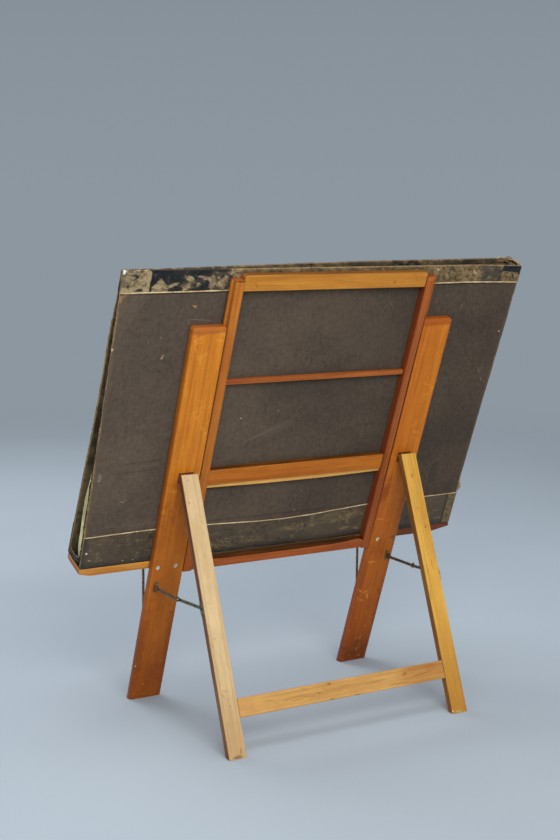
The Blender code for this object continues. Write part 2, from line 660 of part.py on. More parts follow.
def build_stay_fittings(brass, steel):
    # bracket: foot on the back of the front leg, with a lug standing out backwards
    bracket = join(prism_y(BRACKET_FOOT, (GAP, PLATE_FACE)), prism_x(BRACKET_LUG, LUG_X))
    bracket = cut(bracket, rod((275 * MM, STAY_Y, STAY_Z), RIVET_HOLE_R, 10 * MM, 'x', 18),
                  screw_hole(FITTING_SCREW, 8 * MM, BRACKET_SCREW, '-y'))
    place_pair("stay_bracket_{}", bracket, brass)
    place_pair("stay_bracket_screw_{}", screw(FITTING_SCREW, 12.5 * MM, BRACKET_SCREW, '-y'),
               steel, smooth=True)

    # plate on the outer edge of the rear leg
    head = (REAR_HALF + PLATE_FACE, REAR_MID, PLATE_SCREW_Z)
    plate = box((REAR_HALF + GAP, REAR_HALF + PLATE_FACE), around(REAR_MID, 5.5 * MM),
                (-STAY_S - 15 * MM, -STAY_S + 9 * MM))
    plate = cut(plate, screw_hole(PLATE_SCREW, 6 * MM, head, '-x'))
    place_pair("stay_plate_{}", plate, brass, HINGE_AT, OPEN)
    place_pair("stay_plate_screw_{}", screw(PLATE_SCREW, 10.5 * MM, head, '-x'), steel,
               HINGE_AT, OPEN, smooth=True)


# ---------------------------------------------------------------- back-rest frame
def rail_tenon(rail, x, play=0.0):
    y0, y1 = rail.y
    half = min((y1 - y0) / 3, TENON_MAX_T) / 2
    top = min(rail.z[1], STILE_Z1) - rail.inset
    return box(x, around((y0 + y1) / 2, half + play),
               (rail.z[0] + rail.inset - play, top + play))


def stile():
    """Upright of the frame, with its tongue on the outer edge."""
    inner, outer, tip = STILE_IN, FRAME_HALF, FRAME_HALF + TONGUE
    section = ((inner, STILE_Y0), (outer, STILE_Y0), (outer, TONGUE_Y0), (tip, TONGUE_Y0),
               (tip, TONGUE_Y1), (outer, TONGUE_Y1), (outer, STILE_Y1), (inner, STILE_Y1))
    mortises = [rail_tenon(rail, (inner - 2 * MM, inner + rail.tenon + TENON_END_PLAY),
                           TENON_PLAY)
                for rail in (TOP_RAIL, THIN_BAR, MID_RAIL, LOW_RAIL)]
    return cut(prism_z(section, (STILE_Z0, STILE_Z1)), *mortises)


def top_rail():
    z0, z1 = TOP_RAIL.z
    r = TOP_RAIL_CORNER
    points = [(-RAIL_HALF, z0), (RAIL_HALF, z0)]
    points += quarter_arc(RAIL_HALF - r, z1 - r, r, start=0, steps=6)
    points += quarter_arc(-RAIL_HALF + r, z1 - r, r, start=90, steps=6)
    return prism_y(points, TOP_RAIL.y)


def bottom_rail():
    """Upper edge dished, rising to a rounded shoulder near each end."""
    z0, z1 = LOW_RAIL.z
    right = [(RAIL_HALF - inset, z1 + rise) for inset, rise in LOW_RAIL_RISE]
    left = [(-x, z) for x, z in right[::-1]]
    return prism_y([(-RAIL_HALF, z0), (RAIL_HALF, z0)] + right + left, LOW_RAIL.y)


def plain_rail(rail):
    return ease(box(around(0.0, RAIL_HALF), rail.y, rail.z), 0.7 * MM)


def lath():
    """Strip under the middle rail, its lower edge bowed downwards."""
    points = []
    for i in range(17):
        across = i / 8 - 1
        points.append((RAIL_HALF * across, LATH_Z[0] - LATH_BOW * (1 - across ** 2)))
    return prism_y(points + [(RAIL_HALF, LATH_Z[1]), (-RAIL_HALF, LATH_Z[1])], LATH_Y)


def build_frame(wood, top_wood, pale_wood):
    place_pair("frame_stile_{}", relative_to(stile(), FRAME_ORIGIN), wood, FRAME_ORIGIN)
    for name, rail, bar, mat in (("top_rail", TOP_RAIL, top_rail(), top_wood),
                                 ("thin_bar", THIN_BAR, plain_rail(THIN_BAR), wood),
                                 ("middle_rail", MID_RAIL, plain_rail(MID_RAIL), wood),
                                 ("bottom_rail", LOW_RAIL, bottom_rail(), wood)):
        bar = join(bar, rail_tenon(rail, around(0.0, STILE_IN + rail.tenon)))
        place("frame_" + name, relative_to(bar, FRAME_ORIGIN), mat, FRAME_ORIGIN)
    place("frame_lath", relative_to(lath(), FRAME_ORIGIN), pale_wood, FRAME_ORIGIN)


# ---------------------------------------------------------------- portfolio
def folio_flap():
    """L-shaped strip: a narrow side wall and a wide face turned inwards."""
    y = FOLIO_BACK - BOARD_T - GAP
    face, fold = y - FLAP_DEPTH, y - FLAP_DEPTH + FLAP_T
    wall, inner = FLAP_EDGE - FLAP_T, FLAP_EDGE - FLAP_W
    section = ((wall, y), (FLAP_EDGE, y), (FLAP_EDGE, face), (inner, face),
               (inner, fold), (wall, fold))
    return prism_z(section, FLAP_Z)


def build_folio_back(cloth, leather, flap_cloth):
    band_y = (FOLIO_BACK + GAP, FOLIO_BACK + GAP + BAND_T)
    board = box(FOLIO_X, (FOLIO_BACK - BOARD_T, FOLIO_BACK), (FOLIO_LOW, FOLIO_TOP))
    spine = box(FOLIO_X, (FRONT_FACE[0][0] + SPINE_SETBACK, FOLIO_BACK + SPINE_OVERHANG),
                (LEDGE_TOP + SPINE_CLEAR, FOLIO_LOW - SPINE_CLEAR))
    for name, bm, mat in (
            ("back_board", ease(board, 0.6 * MM), cloth),
            ("back_low_band", box(FOLIO_X, band_y, (FOLIO_LOW, LOW_BAND_TOP)), leather),
            ("back_high_band", box(FOLIO_X, band_y, (HIGH_BAND_LOW, FOLIO_TOP)), leather),
            ("spine", ease(spine, 0.5 * MM), leather)):
        place("folio_" + name, relative_to(bm, FOLIO_ORIGIN), mat, FOLIO_ORIGIN)
    place_pair("folio_flap_{}", relative_to(folio_flap(), FOLIO_ORIGIN), flap_cloth,
               FOLIO_ORIGIN)


def front_station(z):
    """Point (y, z) on the outer face of the front board."""
    ys, zs = zip(*FRONT_FACE)
    return (float(np.interp(z, zs, ys)), z)


def offset_line(points, distance):
    """Line of (y, z) points moved square to itself, backwards if positive."""
    moved = []
    for i, (y, z) in enumerate(points):
        before, after = points[max(i - 1, 0)], points[min(i + 1, len(points) - 1)]
        along = Vector((after[0] - before[0], after[1] - before[1])).normalized()
        moved.append((y + along.y * distance, z - along.x * distance))
    return moved


def build_folio_front(cloth, leather):
    origin = (0.0, *FRONT_FACE[0])
    low = [FRONT_FACE[0], front_station(LOW_BAND_MID), front_station(LOW_BAND_TOP)]
    high = [front_station(HIGH_BAND_LOW), FRONT_FACE[-1]]
    for name, line, near, far, mat in (("board", FRONT_FACE, 0.0, BOARD_T, cloth),
                                       ("low_band", low, -GAP - BAND_T, -GAP, leather),
                                       ("high_band", high, -GAP - BAND_T, -GAP, leather)):
        outline = offset_line(line, near) + offset_line(line, far)[::-1]
        sheet = relative_to(prism_x(outline, FOLIO_X), origin)
        place("folio_front_" + name, sheet, mat, origin)


def main():
    for ob in list(bpy.data.objects):
        bpy.data.objects.remove(ob, do_unlink=True)

    leg_oak = material("oak_front_legs", colour=(0.42, 0.17, 0.045), roughness=0.42)
    ledge_oak = material("oak_ledge", colour=(0.50, 0.22, 0.06), roughness=0.45)
    mahogany = material("mahogany_frame", colour=(0.40, 0.14, 0.04), roughness=0.42)
    golden = material("golden_top_rail", colour=(0.55, 0.27, 0.08), roughness=0.42)
    pale = material("pale_lath", colour=(0.70, 0.45, 0.18), roughness=0.5)
    beech = material("beech_rear_legs", colour=(0.66, 0.44, 0.20), roughness=0.5)
    brass = material("aged_brass", colour=(0.32, 0.25, 0.12), roughness=0.45, metallic=0.9)
    steel = material("bright_screw_steel", colour=(0.62, 0.60, 0.56), roughness=0.35,
                     metallic=1.0)
    iron = material("dark_hinge_metal", colour=(0.10, 0.08, 0.06), roughness=0.5, metallic=0.9)
    cloth = material("book_cloth", colour=(0.085, 0.072, 0.06), roughness=0.85)
    leather = material("worn_leather", colour=(0.07, 0.065, 0.05), roughness=0.6)
    flap_cloth = material("green_flap_cloth", colour=(0.45, 0.48, 0.30), roughness=0.9)

    build_front_legs(leg_oak)
    build_ledge(ledge_oak, steel)
    build_braces(brass, steel)
    build_hinges(iron, steel)
    build_rear_legs(beech)
    build_stay_links(brass)
    build_stay_fittings(brass, steel)
    build_frame(mahogany, golden, pale)
    build_folio_back(cloth, leather, flap_cloth)
    build_folio_front(cloth, leather)


main()
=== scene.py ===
"""A folding oak and beech stand holding an old cloth and leather portfolio.

World: x across with right at +x, y backwards, z up. The front legs, the frame and the portfolio
lean back by TILT and are built in an upright frame: x across, y backwards square to the front
legs, z up along them. The rear legs slope the other way from a hinge.
"""
import json
import math
from functools import cached_property, partial

import bmesh
import bpy
import numpy as np
from mathutils import Matrix, Vector

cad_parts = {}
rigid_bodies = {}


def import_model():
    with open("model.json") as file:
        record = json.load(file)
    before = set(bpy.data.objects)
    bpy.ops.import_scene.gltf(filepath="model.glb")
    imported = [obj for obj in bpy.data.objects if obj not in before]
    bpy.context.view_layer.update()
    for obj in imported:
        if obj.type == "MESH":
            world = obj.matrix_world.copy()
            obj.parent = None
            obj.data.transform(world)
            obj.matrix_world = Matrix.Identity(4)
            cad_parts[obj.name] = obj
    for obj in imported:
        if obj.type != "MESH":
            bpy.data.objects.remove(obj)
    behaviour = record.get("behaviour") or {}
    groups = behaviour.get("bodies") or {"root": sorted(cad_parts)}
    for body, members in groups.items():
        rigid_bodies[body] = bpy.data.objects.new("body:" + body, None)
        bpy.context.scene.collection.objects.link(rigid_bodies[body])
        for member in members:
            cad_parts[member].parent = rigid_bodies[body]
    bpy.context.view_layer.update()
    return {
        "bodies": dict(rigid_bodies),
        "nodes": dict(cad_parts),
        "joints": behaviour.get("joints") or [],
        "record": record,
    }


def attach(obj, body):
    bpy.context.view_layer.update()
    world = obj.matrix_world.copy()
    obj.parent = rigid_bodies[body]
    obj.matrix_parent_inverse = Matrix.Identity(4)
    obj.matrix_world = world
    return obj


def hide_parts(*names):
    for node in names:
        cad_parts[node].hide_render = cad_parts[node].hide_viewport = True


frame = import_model()
NODES = frame["nodes"]

# ------------------------------------------------------------------ frames
MM = 0.001
TILT = math.radians(21.0)
SIN, COS = math.sin(TILT), math.cos(TILT)
Y_SHIFT = -0.19169                      # world y of the upright frame's origin


def to_world(p):
    p = np.asarray(p, float)
    x, y, z = p[..., 0], p[..., 1], p[..., 2]
    return np.stack([x, Y_SHIFT + z * SIN + y * COS, z * COS - y * SIN], -1)


def to_upright(p):
    p = np.asarray(p, float)
    x, y, z = p[..., 0], p[..., 1] - Y_SHIFT, p[..., 2]
    return np.stack([x, y * COS - z * SIN, y * SIN + z * COS], -1)


def upright_points(node):
    vertices = NODES[node].data.vertices
    points = np.zeros(len(vertices) * 3)
    vertices.foreach_get("co", points)
    return to_upright(points.reshape(-1, 3))


def upright_box(node):
    points = upright_points(node)
    return points.min(0), points.max(0)


# shader frames: tilt about x, and the world point that becomes the origin
SHADER_FRAMES = {
    "upright": (TILT, (0.0, Y_SHIFT, 0.0)),
    "rear": (-TILT, to_world((0.0, 0.0003, 0.5356))),
}


# ------------------------------------------------------------------ noise for meshes
def lattice_hash(i, j, seed):
    n = (i * 374761393 + j * 668265263 + seed * 144269504) & 0xFFFFFFFF
    n = ((n ^ (n >> 13)) * 1274126177) & 0xFFFFFFFF
    n = ((n ^ (n >> 15)) * 2246822519) & 0xFFFFFFFF
    return ((n ^ (n >> 16)) & 0xFFFF) / 32767.5 - 1.0


def value_noise(x, y, seed):
    x, y = np.broadcast_arrays(np.asarray(x, float), np.asarray(y, float))
    i, j = np.floor(x).astype(np.int64), np.floor(y).astype(np.int64)
    fx, fy = x - i, y - j
    ease_x = fx * fx * fx * (fx * (fx * 6 - 15) + 10)
    ease_y = fy * fy * fy * (fy * (fy * 6 - 15) + 10)
    low = lattice_hash(i, j, seed) * (1 - ease_x) + lattice_hash(i + 1, j, seed) * ease_x
    high = lattice_hash(i, j + 1, seed) * (1 - ease_x) + lattice_hash(i + 1, j + 1, seed) * ease_x
    return low * (1 - ease_y) + high * ease_y


def fbm(x, y, octaves, seed):
    """Layered noise in -1..1, each octave twice as fine and half as strong."""
    total, amount, full = 0.0, 1.0, 0.0
    for k in range(octaves):
        u = np.asarray(x) * 2 ** k + 17.3 * k
        v = np.asarray(y) * 2 ** k - 9.1 * k
        total = total + amount * value_noise(u, v, seed + k)
        full += amount
        amount *= 0.5
    return total / full


def smooth(value, low, high):
    t = np.clip((np.asarray(value, float) - low) / (high - low), 0, 1)
    return t * t * (3 - 2 * t)


# ------------------------------------------------------------------ mesh builders
def add_mesh(name, verts, faces, materials, face_materials=None, attributes=None):
    mesh = bpy.data.meshes.new(name)
    mesh.from_pydata([tuple(v) for v in verts], [], [tuple(int(k) for k in f) for f in faces])
    for material in materials:
        mesh.materials.append(material)
    if face_materials is not None:
        mesh.polygons.foreach_set("material_index", np.asarray(face_materials, np.int32))
    mesh.polygons.foreach_set("use_smooth", np.full(len(mesh.polygons), True))
    for key, values in (attributes or {}).items():
        attribute = mesh.attributes.new(key, "FLOAT", "POINT")
        attribute.data.foreach_set("value", np.asarray(values, np.float32).ravel())
    mesh.update()
    piece = bpy.data.objects.new(name, mesh)
    bpy.context.scene.collection.objects.link(piece)
    return piece


def shell(name, outer, inner, materials, attributes=None, wall_slot=0, inner_slot=0):
    """Closed solid between two grids of upright points (ni, nj, 3)."""
    ni, nj = outer.shape[:2]
    count = ni * nj
    grid = np.arange(count).reshape(ni, nj)
    front = np.stack([grid[:-1, :-1], grid[1:, :-1], grid[1:, 1:], grid[:-1, 1:]], -1)
    front = front.reshape(-1, 4)
    back = front[:, ::-1] + count
    rim = np.concatenate([grid[:, 0], grid[-1, 1:], grid[-2::-1, -1], grid[0, -2:0:-1]])
    after = np.roll(rim, -1)
    wall = np.stack([after, rim, rim + count, after + count], -1)
    verts = to_world(np.concatenate([outer.reshape(-1, 3), inner.reshape(-1, 3)]))
    faces = np.concatenate([front, back, wall])
    corners = verts[faces]
    volume = sum(np.einsum("ij,ij->i", corners[:, 0],
                           np.cross(corners[:, k], corners[:, k + 1])).sum() for k in (1, 2))
    if volume < 0:                      # make the faces look outwards
        faces = faces[:, ::-1]
    slots = np.concatenate([np.zeros(len(front)), np.full(len(back), inner_slot),
                            np.full(len(wall), wall_slot)])
    both = {key: np.tile(np.asarray(values, float).reshape(-1), 2)
            for key, values in (attributes or {}).items()}
    piece = add_mesh(name, verts, faces, materials, slots, both)
    piece.data.set_sharp_from_angle(angle=math.radians(35.0))
    return piece


def tube(name, points, radii, material, sides, squash=1.0):
    """Closed cord through upright points; squash flattens it across its second direction."""
    points = np.asarray(points, float)
    tangents = np.gradient(points, axis=0)
    tangents /= np.linalg.norm(tangents, axis=1)[:, None]
    verts = []
    for point, tangent, radius in zip(points, tangents, radii):
        first = np.cross(tangent, (0.0, 1.0, 0.0))
        first /= np.linalg.norm(first)
        second = np.cross(first, tangent)
        for k in range(sides):
            turn = 2 * math.pi * k / sides
            verts.append(point + radius * (math.cos(turn) * first
                                           + squash * math.sin(turn) * second))
    faces = []
    for row in range(0, (len(points) - 1) * sides, sides):
        for k in range(sides):
            j = (k + 1) % sides
            faces.append((row + k, row + j, row + sides + j, row + sides + k))
    faces.append(range(sides)[::-1])
    faces.append(range((len(points) - 1) * sides, len(points) * sides))
    piece = add_mesh(name, to_world(np.array(verts)), faces, [material])
    bm = bmesh.new()
    bm.from_mesh(piece.data)
    bmesh.ops.recalc_face_normals(bm, faces=bm.faces)
    bm.to_mesh(piece.data)
    bm.free()
    return piece


def register(piece, body, replaces=None):
    if replaces:
        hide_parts(replaces)
    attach(piece, body)


# ------------------------------------------------------------------ shader helper
def linear(colour):
    """Linear RGBA of an sRGB 0-255 triple; shader values and RGBA pass through."""
    if not isinstance(colour, tuple) or len(colour) == 4:
        return colour
    shares = [c / 255.0 for c in colour]
    return tuple(c / 12.92 if c <= 0.04045 else ((c + 0.055) / 1.055) ** 2.4
                 for c in shares) + (1.0,)


def dim(colour, *factors):
    """The colour times one factor, or times one per channel."""
    return tuple(c * k for c, k in zip(linear(colour)[:3], factors * 3)) + (1,)


class Value:
    """Output of a shader node, usable in sums. Colours are given as for linear()."""

    def __init__(self, mat, socket):
        self.mat = mat
        self.socket = socket

    def __add__(self, other):
        return self.mat.math("ADD", self, other)

    def __radd__(self, other):
        return self.mat.math("ADD", other, self)

    def __sub__(self, other):
        return self.mat.math("SUBTRACT", self, other)

    def __rsub__(self, other):
        return self.mat.math("SUBTRACT", other, self)

    def __mul__(self, other):
        return self.mat.math("MULTIPLY", self, other)

    def __truediv__(self, other):
        return self.mat.math("DIVIDE", self, other)

    def __abs__(self):
        return self.mat.math("ABSOLUTE", self)

    def swing(self, size):
        """A 0..1 noise centred on zero, size wide."""
        return (self - 0.5) * size

    def smooth(self, start, end, to=(0.0, 1.0)):
        """Smooth step from start to end, which may run downwards, mapped onto `to`."""
        inputs = dict(enumerate((self, start, end, *to)))
        return self.mat.value("MapRange", inputs, interpolation_type="SMOOTHSTEP", clamp=True)

    def toward(self, colour, amount):
        return self.mat.mix(amount, self, colour)

    def scaled(self, factor):
        return self.mat.vec("SCALE", self, scale=factor)


class Shader:
    """Node tree of a material or world, with short calls for the nodes used here."""

    def __init__(self, owner, output="OutputMaterial", frame="upright"):
        owner.use_nodes = True
        self.owner = owner
        self.tree = owner.node_tree
        self.tree.nodes.clear()
        self.surface = self.node(output).inputs["Surface"]
        self.tilt, self.origin = SHADER_FRAMES[frame]

    def node(self, kind, inputs=None, **settings):
        node = self.tree.nodes.new("ShaderNode" + kind)
        for key, setting in settings.items():
            setattr(node, key, setting)
        for key, value in (inputs or {}).items():
            if isinstance(value, Value):
                self.tree.links.new(value.socket, node.inputs[key])
            elif value is not None:
                node.inputs[key].default_value = value
        return node

    def value(self, kind, inputs=None, out=0, **settings):
        return Value(self, self.node(kind, inputs, **settings).outputs[out])

    def math(self, operation, a, b=None, clamp=False):
        return self.value("Math", {0: a, 1: b}, operation=operation, use_clamp=clamp)

    def vec(self, operation, a, b=None, scale=None):
        out = "Value" if operation in ("LENGTH", "DOT_PRODUCT") else "Vector"
        return self.value("VectorMath", {0: a, 1: b, "Scale": scale}, out, operation=operation)

    def mix(self, amount, a, b):
        return self.value("Mix", {0: amount, 6: linear(a), 7: linear(b)}, 2,
                          data_type="RGBA", blend_type="MIX")

    def shift(self, place, offset):
        return self.vec("ADD", place, offset)

    def stretch(self, place, scale):
        return self.vec("MULTIPLY", place, scale if isinstance(scale, tuple) else (scale,) * 3)

    def noise(self, place, scale, detail=2.0, rough=0.5, twist=0.0, offset=None):
        """Noise 0..1; scale is cycles per metre, once or per axis, after the offset."""
        if offset:
            place = self.shift(place, offset)
        return self.value("TexNoise", {
            "Vector": self.stretch(place, scale), "Scale": 1.0, "Detail": detail,
            "Roughness": rough, "Distortion": twist}, "Fac")

    def voronoi(self, place, scale, out="Distance"):
        inputs = {"Vector": self.stretch(place, scale), "Scale": 1.0}
        return self.value("TexVoronoi", inputs, out)

    def split(self, vector):
        outputs = self.node("SeparateXYZ", {0: vector}).outputs
        return [Value(self, socket) for socket in outputs]

    def join(self, x, y, z):
        return self.value("CombineXYZ", {0: x, 1: y, 2: z})

    def attribute(self, name):
        return self.value("Attribute", out="Fac", attribute_name=name)

    @cached_property
    def coords(self):
        return self.node("TexCoord").outputs

    @cached_property
    def place(self):
        """Object coordinates turned into the piece's own frame."""
        sin, cos = math.sin(self.tilt), math.cos(self.tilt)
        _, y, z = self.origin
        return self.value("Mapping", {
            "Vector": Value(self, self.coords["Object"]), "Rotation": (self.tilt, 0, 0),
            "Location": (0, -(y * cos - z * sin), -(y * sin + z * cos))}, vector_type="POINT")

    @cached_property
    def normal(self):
        inputs = {"Vector": Value(self, self.coords["Normal"]), "Angle": self.tilt}
        return self.value("VectorRotate", inputs, rotation_type="X_AXIS")

    def facing(self, direction):
        return self.vec("DOT_PRODUCT", self.normal, direction)

    def board_plane(self):
        """x and z of the piece's frame, laid flat for marks."""
        return self.join(self.split(self.place)[0], self.split(self.place)[2], 0.0)

    def edge(self, radius, start, end):
        """1 along the arrises of a piece."""
        rounded = self.value("Bevel", {"Radius": radius}, samples=4)
        flat = self.value("NewGeometry", out="Normal")
        return (1.0 - self.vec("DOT_PRODUCT", rounded, flat)).smooth(start, end)

    def crevice(self, distance, start, end):
        """1 deep in joints, 0 in the open: an ambient occlusion mask, used to paint shade into
        hollows.
        """
        open_share = self.value("AmbientOcclusion", {"Distance": distance}, "AO", samples=4)
        return open_share.smooth(start, end, to=(1.0, 0.0))

    def marks(self, colour, plane, spots, ragged=0.5, scale=600.0, outer=1.15, inner=0.6):
        """Paint ragged ellipses, fading from inner to outer times their size. Rows of spots:
        x, z, half width, half height (mm), turn (degrees), colour, strength."""
        wobble = self.noise(plane, scale).swing(ragged * 2)
        for x, z, half_width, half_height, turn, spot_colour, strength in spots:
            local = self.value("Mapping", {
                "Vector": plane, "Location": (x * MM, z * MM, 0),
                "Rotation": (0, 0, math.radians(turn)),
                "Scale": (half_width * MM, half_height * MM, 1e3)}, vector_type="TEXTURE")
            reach = self.vec("LENGTH", local) + wobble
            colour = colour.toward(spot_colour, reach.smooth(outer, inner, to=(0.0, strength)))
        return colour

    def bump(self, height, distance, strength):
        return self.value("Bump", {"Strength": strength, "Distance": distance, "Height": height})

    def shade(self, colour, rough, normal, metal=0.0, coat=0.0, sheen=0.0, specular=0.5,
              sheen_tint=None, trim=None):
        """Finish the material; trim balances its colour under the studio lights."""
        if trim:
            colour = self.vec("MULTIPLY", colour, trim)
        self.finish(self.value("BsdfPrincipled", {
            "Base Color": colour, "Roughness": rough, "Metallic": metal,
            "Specular IOR Level": specular, "Coat Weight": coat, "Coat Roughness": 0.3,
            "Sheen Weight": sheen, "Sheen Tint": linear(sheen_tint), "Normal": normal}))
        return self.owner

    def finish(self, surface):
        self.tree.links.new(surface.socket, self.surface)


def new_material(name, frame="upright"):
    return Shader(bpy.data.materials.new(name), frame=frame)


# ------------------------------------------------------------------ wood
def wood(name, light, dark, tint, seed, ring, pith, trim, frame="upright", along="z",
         ring_mix=0.45, fibre=0.3, streak=0.45, mottle=0.4, pores=0.4, figure=0.42,
         rays=0.0, ray_colour=None, edge=0.4, edge_colour=None, end_colour=None,
         side=0.0, side_colour=None, side_facing=(1, 0, 0), foot=(), top=None,
         crevice=0.5, grime=0.25, rough=0.40, coat=0.048, spots=(), patches=()):
    """Varnished timber.

    light and dark are the ring colours, tint the blotches; ring is the ring width and pith the
    tree's centre, in mm. ring_mix to figure, rays, edge, side, crevice and grime are strengths.
    side is the stain and painted shade on faces turned to side_facing; foot rows and top are
    (from, to, colour, amount) along the grain; spots lie on the rear face, patches are broad soft
    marks.
    """
    mat = new_material(name, frame)
    x, y, z = mat.split(mat.place)
    length, across = (z, x) if along == "z" else (x, z)
    grain = mat.shift(mat.join(length, across, y), (seed * 1.37, seed * 0.61, seed * 0.23))
    noise = partial(mat.noise, grain)
    # rings of a board sawn off-centre, with the trunk's own wander
    pith_x = across - pith[0] * MM + noise((2.3, 9.0, 9.0)).swing(0.02)
    pith_y = y - pith[1] * MM + length * 0.03
    radius = mat.math("SQRT", pith_x * pith_x + pith_y * pith_y)
    wobble = noise((9.0, 60.0, 60.0), detail=3).swing(0.9)
    phase = mat.math("FRACT", radius * (1.0 / (ring * MM)) + wobble)
    late = phase.smooth(0.25, 0.88) * phase.smooth(1.0, 0.9)
    rings = late * noise((6, 80, 80), detail=1).smooth(0.3, 0.7, to=(0.35, 1.0))
    # broad flame figure, then only a hint of each single ring
    flame = noise((3.4, 30.0, 30.0), detail=4, rough=0.6, twist=0.35, offset=(0.7, 0.2, 0.9))
    colour = mat.mix(flame.smooth(0.36, 0.66) * ring_mix, light, dark)
    colour = colour.toward(dark, rings * (ring_mix * 0.42))
    # long soft streaks and fine fibres
    streaks = noise((3.2, 150.0, 150.0), detail=3, rough=0.55)
    colour = colour.toward(dim(dark, 0.74, 0.66, 0.55),
                           streaks.smooth(0.38, 0.72) * (streak * 1.25))
    pale = noise((5.0, 70.0, 70.0), offset=(3.1, 1.7, 0.4)).smooth(0.5, 0.85)
    colour = colour.toward(light, pale * (streak * 0.6))
    fine = noise((22.0, 1100.0, 1100.0), detail=3, rough=0.6)
    coarse = noise((11.0, 300.0, 300.0), detail=3, rough=0.6, offset=(5.5, 2.2, 0.1))
    colour = colour.scaled(1.0 + (fine.swing(fibre * 1.3) + coarse.swing(fibre * 1.5)))
    # large blotches of stain and varnish
    blotch = noise((5.5, 14.0, 14.0), detail=3, rough=0.55)
    colour = colour.toward(tint, blotch.smooth(0.42, 0.72) * mottle)
    clouds = noise((24.0, 75.0, 75.0), detail=5, rough=0.68, offset=(6.1, 0.9, 3.3))
    colour = colour.scaled(1.0 + clouds.swing(figure))
    # pores: short dark dashes along the grain, fainter in the late wood
    pore = noise((120.0, 2300.0, 2300.0), detail=1).smooth(0.60, 0.72) * (1.0 - rings * 0.6)
    colour = colour.toward(dim(dark, 0.35), pore * pores)
    if rays > 0:                        # pale curling ray fleck across the grain
        ribbons = noise((30.0, 24.0, 14.0), detail=3, twist=1.1)
        kept = noise((12.0, 26.0, 10.0), offset=(7, 2, 5)).smooth(0.46, 0.62)
        kept = kept * noise((150, 260, 260)).smooth(0.25, 0.6, to=(0.3, 1.0))
        colour = colour.toward(ray_colour or light,
                               abs(ribbons - 0.5).smooth(0.050, 0.010) * kept * rays)
    if side > 0:                        # stain and painted shade that differ face by face
        sideways = mat.facing(side_facing).smooth(0.55, 0.85)
        uneven = noise((9, 120, 120)).smooth(0.2, 0.7, to=(0.75, 1.0))
        stain = mat.mix(streaks * 0.6, side_colour, dim(side_colour, 0.5))
        colour = colour.toward(stain, sideways * uneven * side)
    # end grain drinks more stain
    grain_axis = (0, 0, 1) if along == "z" else (1, 0, 0)
    end_grain = mat.mix(noise((300, 700, 700)).smooth(0.4, 0.65),
                        end_colour or dim(dark, 0.45), dark)
    colour = colour.toward(end_grain, abs(mat.facing(grain_axis)).smooth(0.60, 0.80) * 0.85)
    for start, end, foot_colour, amount in foot:
        fade = (length + blotch.swing(0.12)).smooth(start * MM, end * MM, to=(amount, 0.0))
        fade = fade * (flame + coarse).smooth(0.7, 1.3, to=(1.0, 0.72))
        if side > 0.8:
            fade = fade * (1.0 - sideways * 0.75)
        colour = colour.toward(foot_colour, fade)
    if top:
        start, end, top_colour, amount = top
        fade = (length + blotch.swing(0.018)).smooth(start * MM, end * MM, to=(0.0, amount))
        colour = colour.toward(top_colour, fade)
    # painted shade with some grime in joints, from ambient occlusion; dark specks of grime
    colour = colour.toward(dim(dark, 0.30), mat.crevice(0.007, 0.30, 0.85) * crevice)
    specks = mat.voronoi(grain, (55.0, 85.0, 85.0)).smooth(0.10, 0.045)
    specks = specks * noise(13, detail=1).smooth(0.5, 0.6)
    colour = colour.toward(dim(dark, 0.3), specks * (grime * 1.6))
    # rubbed arrises
    rubbed = mat.edge(0.0017, 0.02, 0.22) * noise((30, 90, 90), detail=3).smooth(0.36, 0.62)
    pale_edge = tuple(min(1, c * 1.5 + 0.03) for c in linear(light)[:3]) + (1,)
    colour = colour.toward(edge_colour or pale_edge, rubbed * edge)
    if spots:
        rear_face = mat.facing((0, 1, 0)).smooth(0.35, 0.6)
        colour = colour.toward(mat.marks(colour, mat.join(x, z, 0.0), spots), rear_face)
    if patches:
        colour = mat.marks(colour, mat.join(x, z, 0.0), patches,
                           ragged=0.9, scale=70.0, outer=1.5, inner=0.0)
    # short brown flecks lying with the grain
    flecks = noise((70.0, 420.0, 420.0), rough=0.6, offset=(4, 6, 1)).smooth(0.66, 0.74)
    flecks = flecks * noise((7, 20, 20), detail=1).smooth(0.40, 0.62)
    colour = colour.toward(dim(dark, 0.42), flecks * 0.35)
    dents = noise((60, 160, 160), detail=1).smooth(0.70, 0.82)
    height = fine * 0.35 + pore * -0.8 + rings * 0.25 - dents * 1.5
    return mat.shade(colour, rough + blotch.swing(0.22) + pore * 0.2,
                     mat.bump(height, distance=0.00018, strength=0.7),
                     coat=coat, specular=0.22, trim=trim)


# ------------------------------------------------------------------ metals
def brass(name, base, deep, shine, seed, rough=0.42, dull=0.6, metal=0.85):
    mat = new_material(name)
    noise = partial(mat.noise, mat.shift(mat.place, (seed, seed * 0.7, 0)))
    cloud = noise(160, detail=4, rough=0.6)
    fine = noise(900)
    colour = mat.mix(cloud.smooth(0.35, 0.65), deep, base)
    rubbed = mat.edge(0.0006, 0.02, 0.25) * fine.smooth(0.25, 0.6)
    colour = colour.toward(shine, rubbed * 0.75)
    # darker in hollows: tarnish together with painted shade from ambient occlusion
    colour = colour.toward(dim(deep, 0.35), mat.crevice(0.002, 0.3, 0.8) * 0.5)
    roughness = fine.smooth(0.2, 0.8, to=(rough - 0.08, rough + 0.12)) + rubbed * -0.12
    return mat.shade(colour, roughness,
                     mat.bump(cloud + fine * 0.5, distance=0.00012, strength=0.5),
                     metal=cloud.smooth(0.3, 0.7, to=(metal * (1 - dull * 0.5), metal)))


